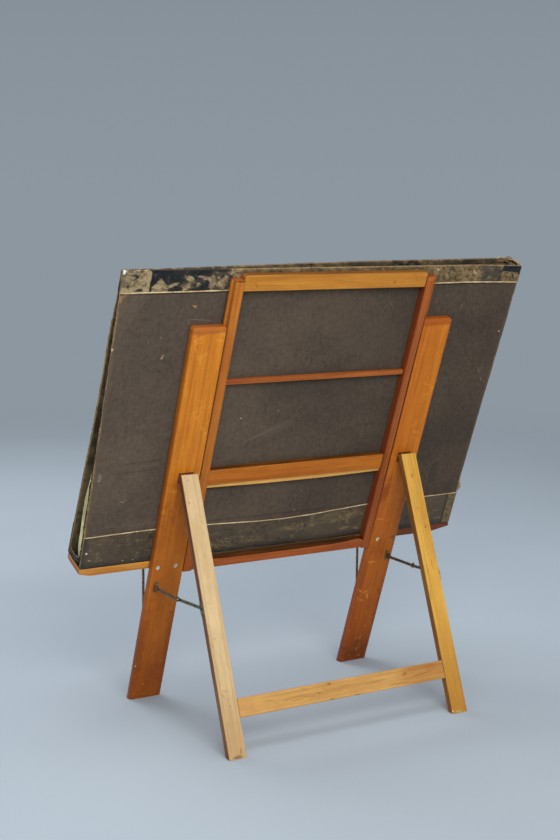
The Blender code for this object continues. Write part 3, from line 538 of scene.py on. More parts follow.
def steel(name, base, stain, rough, seed):
    mat = new_material(name)
    noise = partial(mat.noise, mat.shift(mat.place, (seed, 0, seed)))
    cloud = noise(350, detail=4, rough=0.6)
    scratches = noise((400, 400, 4200))
    colour = mat.mix(cloud.smooth(0.42, 0.68) * 0.5, base, stain)
    # painted shade in the slot and round the head, from ambient occlusion
    colour = colour.toward((30, 24, 18), mat.crevice(0.0016, 0.35, 0.85) * 0.95)
    return mat.shade(colour, rough + cloud.smooth(0.35, 0.7) * 0.25,
                     mat.bump(scratches + cloud, distance=0.00008, strength=0.5),
                     metal=cloud.smooth(0.4, 0.75, to=(0.30, 0.2)))


# ------------------------------------------------------------------ portfolio materials
# scratch families of the cloth: angle, scale across, scale along, noise threshold
SCRATCHES = ((0.9, 330, 24.0, 0.79), (-0.5, 360, 28.0, 0.80), (0.2, 300, 20.0, 0.80))


def book_cloth(name, warm, cool, seed, spots, scuff):
    """Linen-weave book cloth: threads, slubs, fading, scuffs, dust and frayed edges."""
    mat = new_material(name)
    place = mat.place
    x, _, z = mat.split(mat.shift(place, (seed, seed * 0.4, seed * 0.7)))
    plane = mat.join(x, z, 0.0)
    noise = partial(mat.noise, plane)
    clouds = noise((4.5, 6.0, 1), detail=5, rough=0.62)
    patchy = noise((26, 20, 1), detail=4, rough=0.6, offset=(3, 5, 0))
    colour = mat.mix(clouds.smooth(0.36, 0.64), cool, warm)
    warp = noise((1500, 130, 1))
    weft = noise((130, 1500, 1), offset=(1, 2, 0))
    slub = noise((420, 22, 1), detail=3, rough=0.6, offset=(5, 1, 0))
    cross_slub = noise((30, 360, 1), offset=(8, 3, 0))
    grain = noise((120, 95, 1), detail=4, rough=0.65, offset=(6, 2, 0))
    tone = 1.0 + warp.swing(0.42) + weft.swing(0.34) + slub.swing(0.50)
    tone = tone + cross_slub.swing(0.22) + patchy.swing(0.34) + grain.swing(0.95)
    colour = colour.scaled(tone)
    # darker towards the left
    colour = colour.scaled(mat.split(place)[0].smooth(-0.34, 0.36, to=(0.75, 1.06)))
    # rubbed, greyer patches
    rubbed = noise((11, 15, 1), detail=5, rough=0.7, twist=0.6, offset=(2, 9, 0))
    colour = colour.toward((128, 112, 96), rubbed.smooth(0.58, 0.80) * scuff)
    bend = mat.join(patchy, clouds, 0.0)
    for k, (angle, scale_across, scale_along, threshold) in enumerate(SCRATCHES):
        turned = mat.value("VectorRotate", {
            "Vector": mat.shift(plane, (2.2 * k, 1.3 * k, 0)), "Angle": angle},
            rotation_type="Z_AXIS")
        if k:
            bend = mat.join(patchy, clouds, 0.0)
        scratch = mat.noise(mat.vec("ADD", turned, bend.scaled(0.05)),
                            (scale_across, scale_along, 1), detail=1)
        colour = colour.toward((140, 122, 100), scratch.smooth(threshold, threshold + 0.05) * 0.30)
    # pale dust and dark flecks, each in a few of the cells
    cell = mat.voronoi(plane, (46, 46, 1))
    cell_colour = mat.voronoi(plane, (46, 46, 1), out="Color")
    dusty = mat.split(cell_colour)[0].smooth(0.86, 0.90)
    colour = colour.toward((205, 190, 165), cell.smooth(0.085, 0.03) * dusty * 0.55)
    flecked = mat.split(cell_colour)[1].smooth(0.86, 0.90)
    colour = colour.toward((38, 32, 28), cell.smooth(0.16, 0.05) * flecked * 0.5)
    # frayed at the edges
    from_edge = mat.attribute("edge_d")
    fray = mat.noise(place, 260, detail=4, rough=0.65)
    broad = mat.noise(place, 24, detail=3)
    width = 0.0004 + broad.smooth(0.35, 0.7) * 0.0034
    frayed = (from_edge / width + fray.swing(2.4)).smooth(1.15, 0.55)
    threads = mat.mix(fray.smooth(0.35, 0.65), (120, 92, 58), (188, 158, 112))
    colour = colour.toward(threads, frayed)
    halo = (from_edge + broad.swing(0.012)).smooth(0.0, 0.010, to=(0.35, 0.0))
    colour = colour.toward((116, 98, 78), halo)
    colour = mat.marks(colour, mat.board_plane(), spots, scale=900)
    height = warp * 0.5 + weft * 0.5 + slub * 0.6 - frayed * 0.8
    return mat.shade(colour, 0.84 + patchy.swing(0.2),
                     mat.bump(height, distance=0.00022, strength=0.8),
                     sheen=0.04, specular=0.12, sheen_tint=(190, 170, 150),
                     trim=(0.92, 0.888, 0.834))


def leather(name, ink, brown, seed, tan_light=(166, 146, 110), tan_dark=(104, 88, 64),
            spots=(), fade=None, rim=0.60):
    """Dark skin where whole, bare tan fibre where the attribute "wear" is high.

    "tone" runs from ink to brown. fade is (from x, to x, colour factors left of it), in mm;
    rim is how much the edges are rubbed.
    """
    mat = new_material(name)
    place = mat.place
    shifted = mat.shift(place, (seed, seed * 0.3, seed * 0.9))
    noise = partial(mat.noise, shifted)
    wear, tone = mat.attribute("wear"), mat.attribute("tone")
    fine = noise(520, detail=3, rough=0.6)
    middle = noise((95, 95, 130), detail=5, rough=0.65, twist=0.5)
    broad = noise((14, 14, 22), detail=3)
    worn = wear + middle.swing(0.55) + fine.swing(0.30)
    bare = worn.smooth(0.44, 0.58)
    grain = mat.voronoi(shifted, 1300)
    skin = mat.mix(mat.math("ADD", tone, broad.swing(0.5), clamp=True), ink, brown)
    skin = skin.scaled(0.75 + middle * 0.5)
    skin = skin.toward((104, 88, 68), (worn + 0.0).smooth(0.26, 0.46) * 0.45)
    fibre = mat.mix(middle.smooth(0.38, 0.62), tan_dark, tan_light)
    fibre = fibre.toward((96, 96, 66), broad.smooth(0.52, 0.70, to=(0.0, 0.45)))
    fibre = fibre.scaled(0.72 + fine * 0.56)
    if fade:                            # bare fibre is dirtier towards the left
        fade_from, fade_to = fade[0] * MM, fade[1] * MM
        fibre = mat.mix(mat.split(place)[0].smooth(fade_from, fade_to),
                        mat.vec("MULTIPLY", fibre, fade[2]), fibre)
    colour = mat.mix(bare, skin, fibre)
    # dark dirt in the bare fibre, pale flecks all over, cracks
    dirt = noise((190, 190, 240), detail=3, rough=0.7, offset=(3, 3, 3)).smooth(0.60, 0.70)
    colour = colour.toward((44, 38, 32), dirt * bare * 0.65)
    flecks = noise((260, 260, 300), rough=0.7, offset=(7, 1, 2)).smooth(0.68, 0.74)
    colour = colour.toward((176, 156, 120), flecks * 0.5)
    cracks = abs(noise(60, detail=4, twist=1.2, offset=(2, 8, 2)) - 0.5).smooth(0.022, 0.004)
    cracks = cracks * noise(18, detail=1).smooth(0.48, 0.62)
    colour = colour.toward((24, 22, 20), cracks * 0.7)
    rubbed = (mat.attribute("edge_d") + middle.swing(0.0040)).smooth(0.0018, 0.0004)
    if fade:
        rim = mat.split(place)[0].smooth(fade_from, fade_to, to=(rim, 0.10))
    edge_colour = mat.mix(fine.smooth(0.4, 0.6), (82, 64, 46), (164, 138, 104))
    colour = colour.toward(edge_colour, rubbed * rim)
    if spots:
        colour = mat.marks(colour, mat.board_plane(), spots, scale=900)
    rough = mat.mix(bare, mat.join(0.46, 0.46, 0.46), mat.join(0.88, 0.88, 0.88))
    height = (1.0 - grain) * 0.35 + middle * 0.8 - bare * 0.9 - cracks * 0.9
    return mat.shade(colour, mat.split(rough)[0],
                     mat.bump(height, distance=0.00035, strength=0.85), specular=0.25)


def gold_line(name, seed):
    """Gold fillet along the leather, rubbed to cream and broken."""
    mat = new_material(name)
    noise = partial(mat.noise, mat.shift(mat.place, (seed, 0, seed)))
    broad = noise(36, detail=4, rough=0.65)
    fine = noise(420, detail=3)
    colour = mat.mix(broad.smooth(0.35, 0.65), (224, 198, 152), (186, 156, 108))
    colour = colour.toward((96, 76, 52), fine.smooth(0.55, 0.72, to=(0, 0.55)))
    broken = noise(60, detail=3, rough=0.7, offset=(4, 0, 0)).smooth(0.63, 0.70)
    colour = colour.toward((78, 64, 48), broken * 0.75)
    return mat.shade(colour, 0.55, mat.bump(fine, distance=0.0002, strength=0.6), specular=0.35)


def board_lining(name, base, patch, seed, bits):
    """Dark paper lining inside a board, stained and torn; bits is the torn share."""
    mat = new_material(name)
    noise = partial(mat.noise, mat.shift(mat.place, (seed, seed, 0)))
    broad = noise(30, detail=5, rough=0.65)
    torn = noise(170, detail=4, rough=0.7)
    fine = noise(900)
    colour = mat.mix(broad.smooth(0.38, 0.62), base, patch).scaled(0.7 + fine * 0.6)
    colour = colour.toward((176, 150, 108), torn.smooth(0.60, 0.68) * bits)
    rubbed = (mat.attribute("edge_d") + torn.swing(0.004)).smooth(0.0022, 0.0008)
    colour = colour.toward((158, 130, 88), rubbed * 0.8)
    return mat.shade(colour, 0.9, mat.bump(torn + fine, distance=0.0004, strength=0.7),
                     specular=0.2)


def flap_fabric(name, seed):
    """Thin sage green cotton, darkened towards the top by painted shade and dirt."""
    mat = new_material(name)
    noise = partial(mat.noise, mat.shift(mat.place, (seed, seed, 0)))
    broad = noise(26, detail=4, rough=0.6)
    dirt = noise(160, detail=4, rough=0.7)
    warp, weft = noise((1400, 1400, 140)), noise((140, 140, 1400))
    colour = mat.mix(broad.smooth(0.38, 0.62), (222, 210, 158), (176, 168, 118))
    colour = colour.scaled(0.86 + (warp * 0.16 + weft * 0.12))
    height = mat.split(mat.place)[2] + broad.swing(0.10)
    # painted shade with dirt mottling: the flap darkens towards the top, deep in the narrowing gap
    shade_and_dirt = mat.mix(dirt.smooth(0.56, 0.72), (44, 38, 30), (88, 75, 52))
    colour = colour.toward(shade_and_dirt, height.smooth(0.520, 0.552))
    colour = colour.toward((92, 84, 56), dirt.smooth(0.60, 0.70) * 0.6)
    return mat.shade(colour, 0.88,
                     mat.bump(warp * 0.5 + weft * 0.5, distance=0.0002, strength=0.8),
                     sheen=0.1, specular=0.25)


def frayed_cord(name, first, second, seed, low=None):
    """Loose fibre in two colours; low is (from z, to z, dirt colour) in mm."""
    mat = new_material(name)
    noise = partial(mat.noise, mat.shift(mat.place, (seed, seed, 0)))
    broad = noise(90, detail=4, rough=0.7)
    fine = noise(700, detail=3, rough=0.7)
    colour = mat.mix(broad.smooth(0.40, 0.60), first, second)
    if low:
        height = mat.split(mat.place)[2] + broad.swing(0.05)
        colour = colour.toward(low[2], height.smooth(low[0] * MM, low[1] * MM, to=(0.9, 0.0)))
    colour = colour.scaled(0.65 + fine * 0.7)
    return mat.shade(colour, 0.9, mat.bump(fine, distance=0.0004, strength=0.8), specular=0.2)


# ------------------------------------------------------------------ timber, piece by piece
def dress(node, material, bevel=0.0, segments=1):
    """Give a CAD piece its material and, if asked, rounded arrises (metres)."""
    piece = NODES[node]
    piece.data.materials.clear()
    piece.data.materials.append(material)
    if bevel:
        weld = piece.modifiers.new("weld", "WELD")
        weld.merge_threshold = 1e-5
        planes = piece.modifiers.new("planes", "DECIMATE")
        planes.decimate_type = "DISSOLVE"
        planes.angle_limit = math.radians(0.6)
        arris = piece.modifiers.new("arris", "BEVEL")
        arris.width = bevel
        arris.segments = segments
        arris.limit_method = "ANGLE"
        arris.angle_limit = math.radians(40)
        arris.harden_normals = False
        arris.use_clamp_overlap = True


def timber(node, name, bevel, segments=2, **finish):
    dress(node, wood(name, **finish), bevel, segments)


STILE_OUT = 222.2                       # half width over the stiles, mm
STILE_IN = upright_box("frame_stile_left")[1][0] / MM - 1.5
WHITE = (226, 214, 196)
BLACKISH = (34, 24, 18)

# side darkens the faces turned to side_facing with stain and painted shade
timber(
    "front_leg_right", "oak_front_leg_right", 0.0010, seed=3.1, trim=(1.05, 0.905, 0.435),
    light=(214, 142, 56), dark=(178, 108, 40), tint=(190, 104, 36),
    ring=6.0, pith=(330, 30), ring_mix=0.42, fibre=0.34, streak=0.34, mottle=0.26, pores=0.45,
    figure=0.30, rays=0.32, ray_colour=(236, 176, 92), edge=0.5, edge_colour=(206, 128, 62),
    end_colour=(132, 66, 40), side=0.55, side_colour=(150, 70, 30),
    foot=[(380, 600, (158, 82, 28), 0.62), (0, 330, (126, 58, 20), 0.72)],
    top=(829, 834, (160, 94, 56), 0.7),
    patches=[
        (262, 468, 26, 40, 4, (118, 54, 18), 0.30), (280, 405, 16, 70, 4, (112, 50, 17), 0.28),
        (236, 420, 12, 60, -3, (120, 58, 20), 0.16), (258, 512, 30, 10, 6, (104, 44, 16), 0.45),
        (255, 250, 26, 70, 3, (112, 52, 18), 0.24), (288, 130, 9, 110, 0, (88, 38, 14), 0.45),
        (229, 120, 8, 110, 0, (88, 38, 14), 0.40), (250, 60, 30, 40, 0, (100, 44, 16), 0.30),
        (284, 600, 8, 60, 2, (150, 84, 26), 0.35), (240, 700, 10, 90, 2, (206, 132, 44), 0.30)],
    spots=[
        (292, 84, 2.0, 2.4, 10, WHITE, 0.95), (268, 36, 1.2, 1.6, 0, (220, 190, 140), 0.7),
        (284, 14, 2.4, 1.0, 0, (196, 170, 130), 0.7),
        (262, 10, 3.0, 1.0, 0, (206, 176, 130), 0.6)])
timber(
    "front_leg_left", "oak_front_leg_left", 0.0010, seed=7.7, trim=(1.04, 0.86, 0.305),
    light=(206, 132, 52), dark=(176, 104, 40), tint=(184, 100, 36),
    ring=7.0, pith=(-250, 60), fibre=0.42, streak=0.46, mottle=0.30, pores=0.45,
    figure=0.32, rays=0.42, ray_colour=(228, 156, 80), edge=0.5, edge_colour=(196, 116, 54),
    end_colour=(112, 52, 30), side=0.4, side_colour=(150, 74, 30),
    foot=[(360, 560, (160, 84, 28), 0.60), (0, 330, (126, 56, 20), 0.74)],
    top=(829, 835, (150, 80, 44), 0.7),
    patches=[
        (-232, 448, 14, 34, 6, (118, 48, 14), 0.45), (-270, 500, 16, 16, 0, (122, 54, 18), 0.40),
        (-285, 420, 9, 60, 3, (112, 46, 14), 0.35), (-250, 300, 18, 34, 0, (120, 52, 16), 0.32),
        (-229, 230, 7, 80, 2, (104, 44, 14), 0.40), (-288, 120, 7, 90, 0, (92, 38, 12), 0.40),
        (-258, 20, 44, 46, 0, (62, 32, 12), 0.55), (-258, 620, 20, 60, 4, (198, 122, 40), 0.30)],
    spots=[
        (-279, 187, 2.4, 2.8, 0, BLACKISH, 1.0), (-281.5, 327.5, 3.2, 2.6, 0, (92, 44, 22), 0.75),
        (-236, 376, 12, 1.6, 8, (214, 142, 66), 0.80),
        (-262, 372, 9, 1.4, -24, (208, 134, 60), 0.72),
        (-270, 356, 6, 1.6, 60, (210, 138, 64), 0.72),
        (-244, 327, 9, 2.0, 12, (214, 140, 62), 0.65),
        (-262, 329, 5, 1.8, -30, (206, 132, 60), 0.58),
        (-241, 266, 13, 3.4, 6, (206, 134, 66), 0.87),
        (-230, 192, 8, 2.2, 30, (214, 146, 76), 0.87),
        (-245, 188, 8, 2.0, -28, (214, 146, 76), 0.87),
        (-252, 176, 2.4, 9, -14, (214, 146, 76), 0.87),
        (-240, 166, 9, 1.8, 18, (208, 140, 72), 0.72),
        (-228, 172, 2.0, 6, 20, (204, 136, 70), 0.72),
        (-222, 150, 5, 1.2, 40, (200, 132, 68), 0.72),
        (-210, 123, 1.4, 6, -12, (204, 140, 78), 0.72),
        (-228, 84, 1.2, 5, 14, (204, 140, 78), 0.72),
        (-240, 118, 5, 1.0, 62, (198, 130, 70), 0.65),
        (-262, 128, 1.2, 8, -22, (198, 130, 70), 0.65),
        (-282, 96, 1.2, 9, -24, (200, 132, 72), 0.72),
        (-268, 92, 1.0, 7, -20, (198, 130, 70), 0.65),
        (-250, 62, 4, 1.0, 50, (206, 146, 90), 0.5),
        (-262, 60, 1.6, 3.4, 15, (214, 176, 120), 0.7),
        (-259, 30, 1.3, 6.4, -16, (224, 196, 160), 0.85),
        (-270.5, 11, 1.8, 4.6, 20, (220, 192, 156), 0.8),
        (-266, 34, 1.0, 3.0, 10, (210, 170, 110), 0.6),
        (-244, 14, 3.0, 1.0, 10, (206, 170, 120), 0.6),
        (-286, 18, 2.0, 1.6, 0, (196, 160, 110), 0.6),
        (-230, 440, 9, 26, 8, (146, 66, 22), 0.45)])
timber(
    "ledge", "oak_ledge", 0.0011, along="x", seed=11.2, trim=(1.20, 1.49, 1.35),
    light=(208, 136, 60), dark=(172, 98, 40), tint=(168, 80, 34),
    ring=6.5, pith=(300, -90), ring_mix=0.5, fibre=0.28, mottle=0.5, pores=0.5, rays=0.15,
    edge=0.6, edge_colour=(206, 132, 90), end_colour=(128, 50, 26),
    # the first spot is painted shadow with old dirt on the ledge's rear face between the legs
    spots=[(0, 330, 258, 200, 0, (44, 34, 26), 0.92), (-380, 330, 112, 200, 0, (102, 46, 22), 1.0)])
timber(
    "frame_stile_right", "frame_stile_right", 0.0006, seed=15.4, trim=(1.03, 0.96, 0.57),
    light=(192, 120, 54), dark=(160, 90, 38), tint=(150, 74, 32),
    ring=5.0, pith=(180, -40), pores=0.35, edge_colour=(206, 136, 80),
    side=0.55, side_colour=(128, 60, 30), side_facing=(-1, 0, 0), crevice=0.7,
    foot=[(322, 400, (156, 60, 22), 0.6)],
    # the long dark line along the outer arris is painted shade with some dirt, where the stile
    # meets the leg
    spots=[(STILE_OUT - 0.9, 622, 1.4, 322, 0, (84, 46, 22), 0.35),
           (STILE_OUT - 14, 934.5, 16, 1.6, 0, (40, 24, 16), 0.8)])
timber(
    "frame_stile_left", "frame_stile_left", 0.0006, seed=19.9, trim=(0.98, 0.78, 0.38),
    light=(172, 104, 60), dark=(140, 76, 40), tint=(148, 72, 36),
    ring=5.0, pith=(-260, 20), pores=0.35, edge_colour=(190, 124, 84),
    side=0.8, side_colour=(127, 55, 44), crevice=0.7,
    # the long dark lines along the outer and inner arrises are painted shade, the outer one with
    # some dirt
    spots=[(-STILE_OUT + 1.1, 622, 1.7, 322, 0, (34, 18, 10), 0.9),
           (-STILE_OUT + 9, 932, 9, 5, 0, (196, 128, 84), 0.5),
           (STILE_IN, 622, 1.9, 340, 0, (84, 36, 16), 0.55)])
# side darkens the top face: painted shade along the top
timber(
    "frame_top_rail", "frame_top_rail", 0.0016, 3, along="x", seed=23.3, trim=(0.885, 0.84, 0.51),
    light=(216, 152, 72), dark=(186, 116, 48), tint=(180, 104, 44),
    ring=7.0, pith=(900, 60), streak=0.40, mottle=0.30, pores=0.35,
    edge=0.25, edge_colour=(224, 160, 96), end_colour=(130, 70, 36),
    side=0.95, side_colour=(104, 64, 24), side_facing=(0, 0, 1),
    spots=[(178, 926, 7, 1.1, 55, (96, 56, 30), 0.6), (-176, 936, 12, 1.0, 62, (150, 88, 44), 0.5),
           (-128, 926, 2.6, 3.6, 20, (120, 62, 28), 0.6)])
timber(
    "frame_thin_bar", "frame_thin_bar", 0.0005, along="x", seed=27.0, trim=(1.02, 0.86, 0.54),
    light=(182, 112, 56), dark=(142, 76, 38), tint=(132, 62, 32),
    ring=3.5, pith=(700, 20), ring_mix=0.6, streak=0.5, edge_colour=(196, 128, 76),
    side=0.25, side_colour=(150, 78, 38), side_facing=(0, 0, 1))
# side darkens the top face: painted shadow on it
timber(
    "frame_middle_rail", "frame_middle_rail", 0.0014, along="x", seed=31.7,
    trim=(0.96, 0.87, 0.40), light=(200, 122, 50), dark=(166, 90, 34), tint=(170, 86, 32),
    ring=6.0, pith=(560, 50), ring_mix=0.5, mottle=0.35, edge=0.25, edge_colour=(206, 132, 68),
    side=0.95, side_colour=(62, 40, 24), side_facing=(0, 0, 1))
timber(
    "frame_lath", "frame_lath", 0.0005, along="x", seed=36.2, trim=(1.15, 1.02, 0.70),
    light=(226, 182, 116), dark=(190, 138, 78), tint=(196, 140, 80),
    ring=3.0, pith=(520, 20), ring_mix=0.4, mottle=0.35, pores=0.3, edge=0.2, crevice=0.3)
# side darkens the top face: painted shadow on it
timber(
    "frame_bottom_rail", "frame_bottom_rail", 0.0009, along="x", seed=41.5,
    trim=(1.30, 0.93, 0.55), light=(164, 102, 56), dark=(128, 70, 36), tint=(120, 60, 32),
    ring=5.0, pith=(380, 30), ring_mix=0.5, mottle=0.5, edge=0.55, edge_colour=(196, 142, 104),
    side=0.92, side_colour=(40, 32, 26), side_facing=(0, 0, 1))
timber(
    "rear_leg_right", "beech_rear_leg_right", 0.0009, frame="rear", seed=46.8,
    trim=(0.74, 0.715, 0.69), light=(240, 212, 164), dark=(222, 186, 132), tint=(216, 176, 120),
    ring=8.0, pith=(330, 40), ring_mix=0.4, fibre=0.16, streak=0.35, mottle=0.35, pores=0.22,
    coat=0.012, rough=0.55, edge=0.5, edge_colour=(248, 226, 186), end_colour=(120, 92, 66),
    side=0.95, side_colour=(128, 60, 28), foot=[(-520, -360, (196, 152, 98), 0.6)], grime=0.3,
    spots=[
        (266, -58, 2.2, 3.0, 10, (120, 92, 62), 0.39),
        (246, -96, 2.0, 2.0, 0, (150, 112, 74), 0.33),
        (262, -250, 1.6, 5.0, 4, (164, 126, 84), 0.28),
        (268, -330, 1.2, 6.0, -4, (170, 130, 88), 0.28),
        (260.7, -14.7, 3.2, 2.0, 30, (128, 104, 84), 0.33),
        (266, -9, 2.4, 1.6, -20, (140, 116, 96), 0.28),
        (253, -160, 1.8, 6, 4, (168, 130, 88), 0.30),
        (262, -318, 5, 1.3, -14, (166, 120, 76), 0.33),
        (256, -352, 1.2, 6, 0, (172, 132, 90), 0.28),
        (258.6, -416, 8, 1.6, 16, (160, 112, 66), 0.36),
        (264, -424, 2.4, 6, -26, (164, 118, 72), 0.33),
        (254, -432, 5, 1.4, -30, (166, 120, 74), 0.30),
        (252.8, -445, 2.0, 3.4, 0, (150, 106, 64), 0.30),
        (262, -478, 1.4, 7, 4, (166, 122, 78), 0.28),
        (254.7, -538, 11, 3.5, 0, (88, 56, 36), 0.55),
        (247, -528, 2.0, 7, 12, (110, 76, 50), 0.39)])
timber(
    "rear_leg_left", "beech_rear_leg_left", 0.0009, frame="rear", seed=52.4,
    trim=(0.87, 0.87, 0.585), light=(230, 178, 96), dark=(206, 148, 66), tint=(200, 136, 58),
    ring=8.0, pith=(-180, 45), fibre=0.18, streak=0.40, mottle=0.35, pores=0.25,
    coat=0.032, rough=0.48, edge=0.45, edge_colour=(238, 194, 122), end_colour=(110, 72, 44),
    side=0.88, side_colour=(122, 62, 26), foot=[(-540, -280, (166, 106, 50), 0.72)], grime=0.4,
    spots=[
        (-250, -120, 1.4, 4.0, 0, (140, 92, 44), 0.5),
        (-252.4, -50.4, 1.8, 5.5, 12, (112, 82, 40), 0.75),
        (-264.4, -79.3, 5, 9, 10, (186, 158, 118), 0.5),
        (-260.3, -160.9, 1.8, 1.8, 0, (112, 62, 30), 0.8),
        (-262, -158, 4.5, 3.0, 20, (176, 106, 52), 0.5),
        (-270.9, -215.5, 3.6, 10, 4, (190, 154, 120), 0.55),
        (-258, -236, 1.2, 12, 3, (150, 96, 40), 0.45),
        (-246, -250, 1.2, 9, -2, (154, 100, 42), 0.45),
        (-264, -390, 2.0, 6, 0, (190, 160, 118), 0.5),
        (-240, -300, 1.4, 12, 0, (160, 104, 48), 0.4),
        (-235.7, -535.9, 5.0, 2.4, 0, (226, 206, 170), 0.85),
        (-252, -538, 8, 1.6, 0, (206, 180, 136), 0.6)])
timber(
    "rear_stretcher", "beech_stretcher", 0.0009, frame="rear", along="x", seed=58.1,
    trim=(0.80, 0.735, 0.575), light=(226, 182, 118), dark=(198, 148, 86), tint=(206, 150, 92),
    ring=7.0, pith=(-380, 40), ring_mix=0.4, fibre=0.22, pores=0.55, coat=0.02, rough=0.5,
    edge_colour=(236, 196, 140), side=0.45, side_colour=(176, 112, 60), side_facing=(0, 0, 1),
    grime=0.35,
    spots=[
        (224, -456, 34, 24, 0, (206, 150, 106), 0.28),
        (34, -437.4, 2.2, 2.2, 0, (96, 58, 34), 0.85),
        (36, -438, 6.5, 3.0, 10, (170, 118, 64), 0.6),
        (-142, -444.8, 2.4, 2.2, 0, (98, 60, 36), 0.9),
        (-140, -446, 8, 3.0, -8, (166, 112, 58), 0.55),
        (90, -439, 10, 1.1, 14, (150, 106, 64), 0.42),
        (60, -451, 5, 3.0, 20, (150, 106, 62), 0.4),
        (81, -454.3, 20, 1.0, 6, (156, 110, 64), 0.42),
        (110, -456, 16, 1.2, 2, (150, 104, 60), 0.5),
        (133, -452.7, 9, 1.3, -4, (154, 108, 64), 0.42),
        (170, -448, 14, 1.2, 3, (156, 110, 66), 0.5), (34, -467, 7, 1.6, 0, (120, 80, 46), 0.6),
        (-24, -467.9, 6, 1.6, 0, (120, 80, 46), 0.6), (0, -446, 18, 1.2, 4, (154, 108, 62), 0.45),
        (-70, -450, 24, 1.4, -3, (150, 102, 54), 0.45),
        (-180, -452, 26, 2.0, -4, (152, 98, 46), 0.5),
        (-120, -462, 30, 1.6, 2, (150, 98, 48), 0.45),
        (-205, -442, 14, 8, 0, (176, 112, 52), 0.4),
        (-190, -450, 74, 26, 0, (166, 98, 40), 0.42)])

# ------------------------------------------------------------------ metal fittings
BRONZE = dict(base=(124, 109, 80), deep=(62, 52, 38), shine=(210, 192, 146), metal=0.6)
RIVET = dict(base=(140, 122, 84), deep=(78, 64, 44), shine=(206, 186, 136))
ROD = dict(base=(150, 134, 92), deep=(92, 78, 50), shine=(226, 210, 160), rough=0.34, dull=0.3)
HINGE = dict(base=(134, 82, 48), deep=(88, 50, 30), shine=(176, 146, 104), rough=0.5)
HINGE_SCREW = dict(base=(120, 110, 92), stain=(60, 50, 38), rough=0.4)
BRIGHT_SCREW = dict(base=(236, 230, 218), stain=(150, 138, 120), rough=0.42)
DULL_SCREW = dict(base=(124, 118, 92), stain=(70, 66, 48), rough=0.42)
SMALL_SCREW = dict(base=(150, 140, 116), stain=(78, 68, 50), rough=0.4)
STAY_PARTS = {f"stay_{part}_{side}" for side in ("right", "left")
              for part in ("front_link", "rear_link", "plate", "bracket")}


def dress_fitting(node):
    """Pick the finish by the piece's name; the name's length varies the texture."""
    length = len(node)
    if node in STAY_PARTS:
        dress(node, brass("bronze_" + node, seed=length * 0.37, **BRONZE), bevel=0.00025)
    elif node.startswith(("stay_front_rivet", "stay_knuckle_rivet")):
        dress(node, brass("rivet_" + node, seed=length * 0.53, **RIVET))
    elif node.startswith("ledge_brace"):
        dress(node, brass("rod_" + node, seed=2.4, **ROD))
    elif node.startswith("hinge_") and "screw" in node:
        dress(node, steel("hscrew_" + node, seed=length * 0.2, **HINGE_SCREW))
    elif node.startswith("hinge_"):
        dress(node, brass("hinge_" + node, seed=length * 0.71, **HINGE),
              bevel=0.0002 if "leaf" in node else 0)
    elif node.startswith("ledge_screw"):
        finish = DULL_SCREW if node == "ledge_screw_left_outer" else BRIGHT_SCREW
        seed = length * 0.3 + (3 if "inner" in node else 0)
        dress(node, steel("screw_" + node, seed=seed, **finish))
    elif node.startswith(("brace_screw", "stay_bracket_screw", "stay_plate_screw")):
        dress(node, steel("screw_" + node, seed=length * 0.3, **SMALL_SCREW))
    elif (not node.startswith(("folio_", "front_leg", "rear_", "frame_")) and node != "ledge"
          and not NODES[node].modifiers):
        dress(node, brass("other_" + node, seed=0.0, **BRONZE))


for node in sorted(NODES):
    dress_fitting(node)

# ------------------------------------------------------------------ portfolio: shape of the boards
board_lo, board_hi = upright_box("folio_back_board")
HALF = board_hi[0]                      # half width of the boards
BACK_Y, BACK_INNER_Y = board_hi[1], board_lo[1]
THICK = BACK_Y - BACK_INNER_Y
BACK_FOOT = board_lo[2]
BACK_TOP = board_hi[2] - 0.0024         # the upper edges are worn down
BACK_LOW_TOP = upright_box("folio_back_low_band")[1][2]
BACK_HIGH_FOOT = upright_box("folio_back_high_band")[0][2]
FRONT_LOW_TOP = upright_box("folio_front_low_band")[1][2]
FRONT_HIGH_FOOT = upright_box("folio_front_high_band")[0][2]
BODIES = {"back": "portfolio", "front": "portfolio_front"}

front_points = upright_points("folio_front_board")
FRONT_LOW = front_points[:, 2].min()
FRONT_FOOT = FRONT_LOW + 0.0005
FRONT_TOP = front_points[:, 2].max() - 0.0012
# outer face of the front board: the foremost point at heights over 12 mm apart
right_half = front_points[front_points[:, 0] > 0]
FACE_Z, FACE_Y = [], []
for level in np.unique(np.round(right_half[:, 2], 4)):
    if not FACE_Z or level - FACE_Z[-1] > 0.012:
        at_level = np.abs(right_half[:, 2] - level) < 0.0012
        FACE_Z.append(level)
        FACE_Y.append(right_half[at_level, 1].min())


def front_face_y(x, z):
    """Outer face of the front board, sagging and a little twisted."""
    y = np.interp(z, FACE_Z, FACE_Y)
    rise = smooth(z, FRONT_LOW + 0.05, FRONT_TOP)
    y = y + 0.0135 * smooth(z, 0.80, FRONT_TOP) * smooth(x, -0.10, HALF)
    ripple = 0.0006 * fbm(x / 0.16, z / 0.16, 2, 71) * smooth(z, 0.36, 0.5)
    return y + rise * (-0.0030 + 0.0052 * (x / HALF)) + ripple


def corner_lift(x, z):
    """The back board's top left corner has lifted backwards."""
    return 0.0085 * np.clip((-x - 0.292) / 0.15, 0, 1) ** 2 * smooth(z, 0.42, 0.96)


def board_point(board, x, depth, z):
    """Point a given depth inwards from a board's outer face."""
    x, depth, z = np.broadcast_arrays(x, depth, z)
    if board == "back":
        y = BACK_Y - depth + corner_lift(x, z)
    else:
        y = front_face_y(x, z) + depth
        z = z - 0.0012 * (x / HALF) * smooth(z, 0.85, FRONT_TOP - 0.004)
    return np.stack([x, y, z], -1)


def edge_dense(low, high):
    """Stations 7.5 mm apart, closer near both ends."""
    near = np.array([0, 0.4, 1.0, 1.9, 3.2, 5.2, 8.5, 13.0]) * MM
    count = int(round((high - low - 0.038) / 0.0075)) + 1
    middle = np.linspace(low + 0.019, high - 0.019, count)
    return np.concatenate([low + near, middle, (high - near)[::-1]])


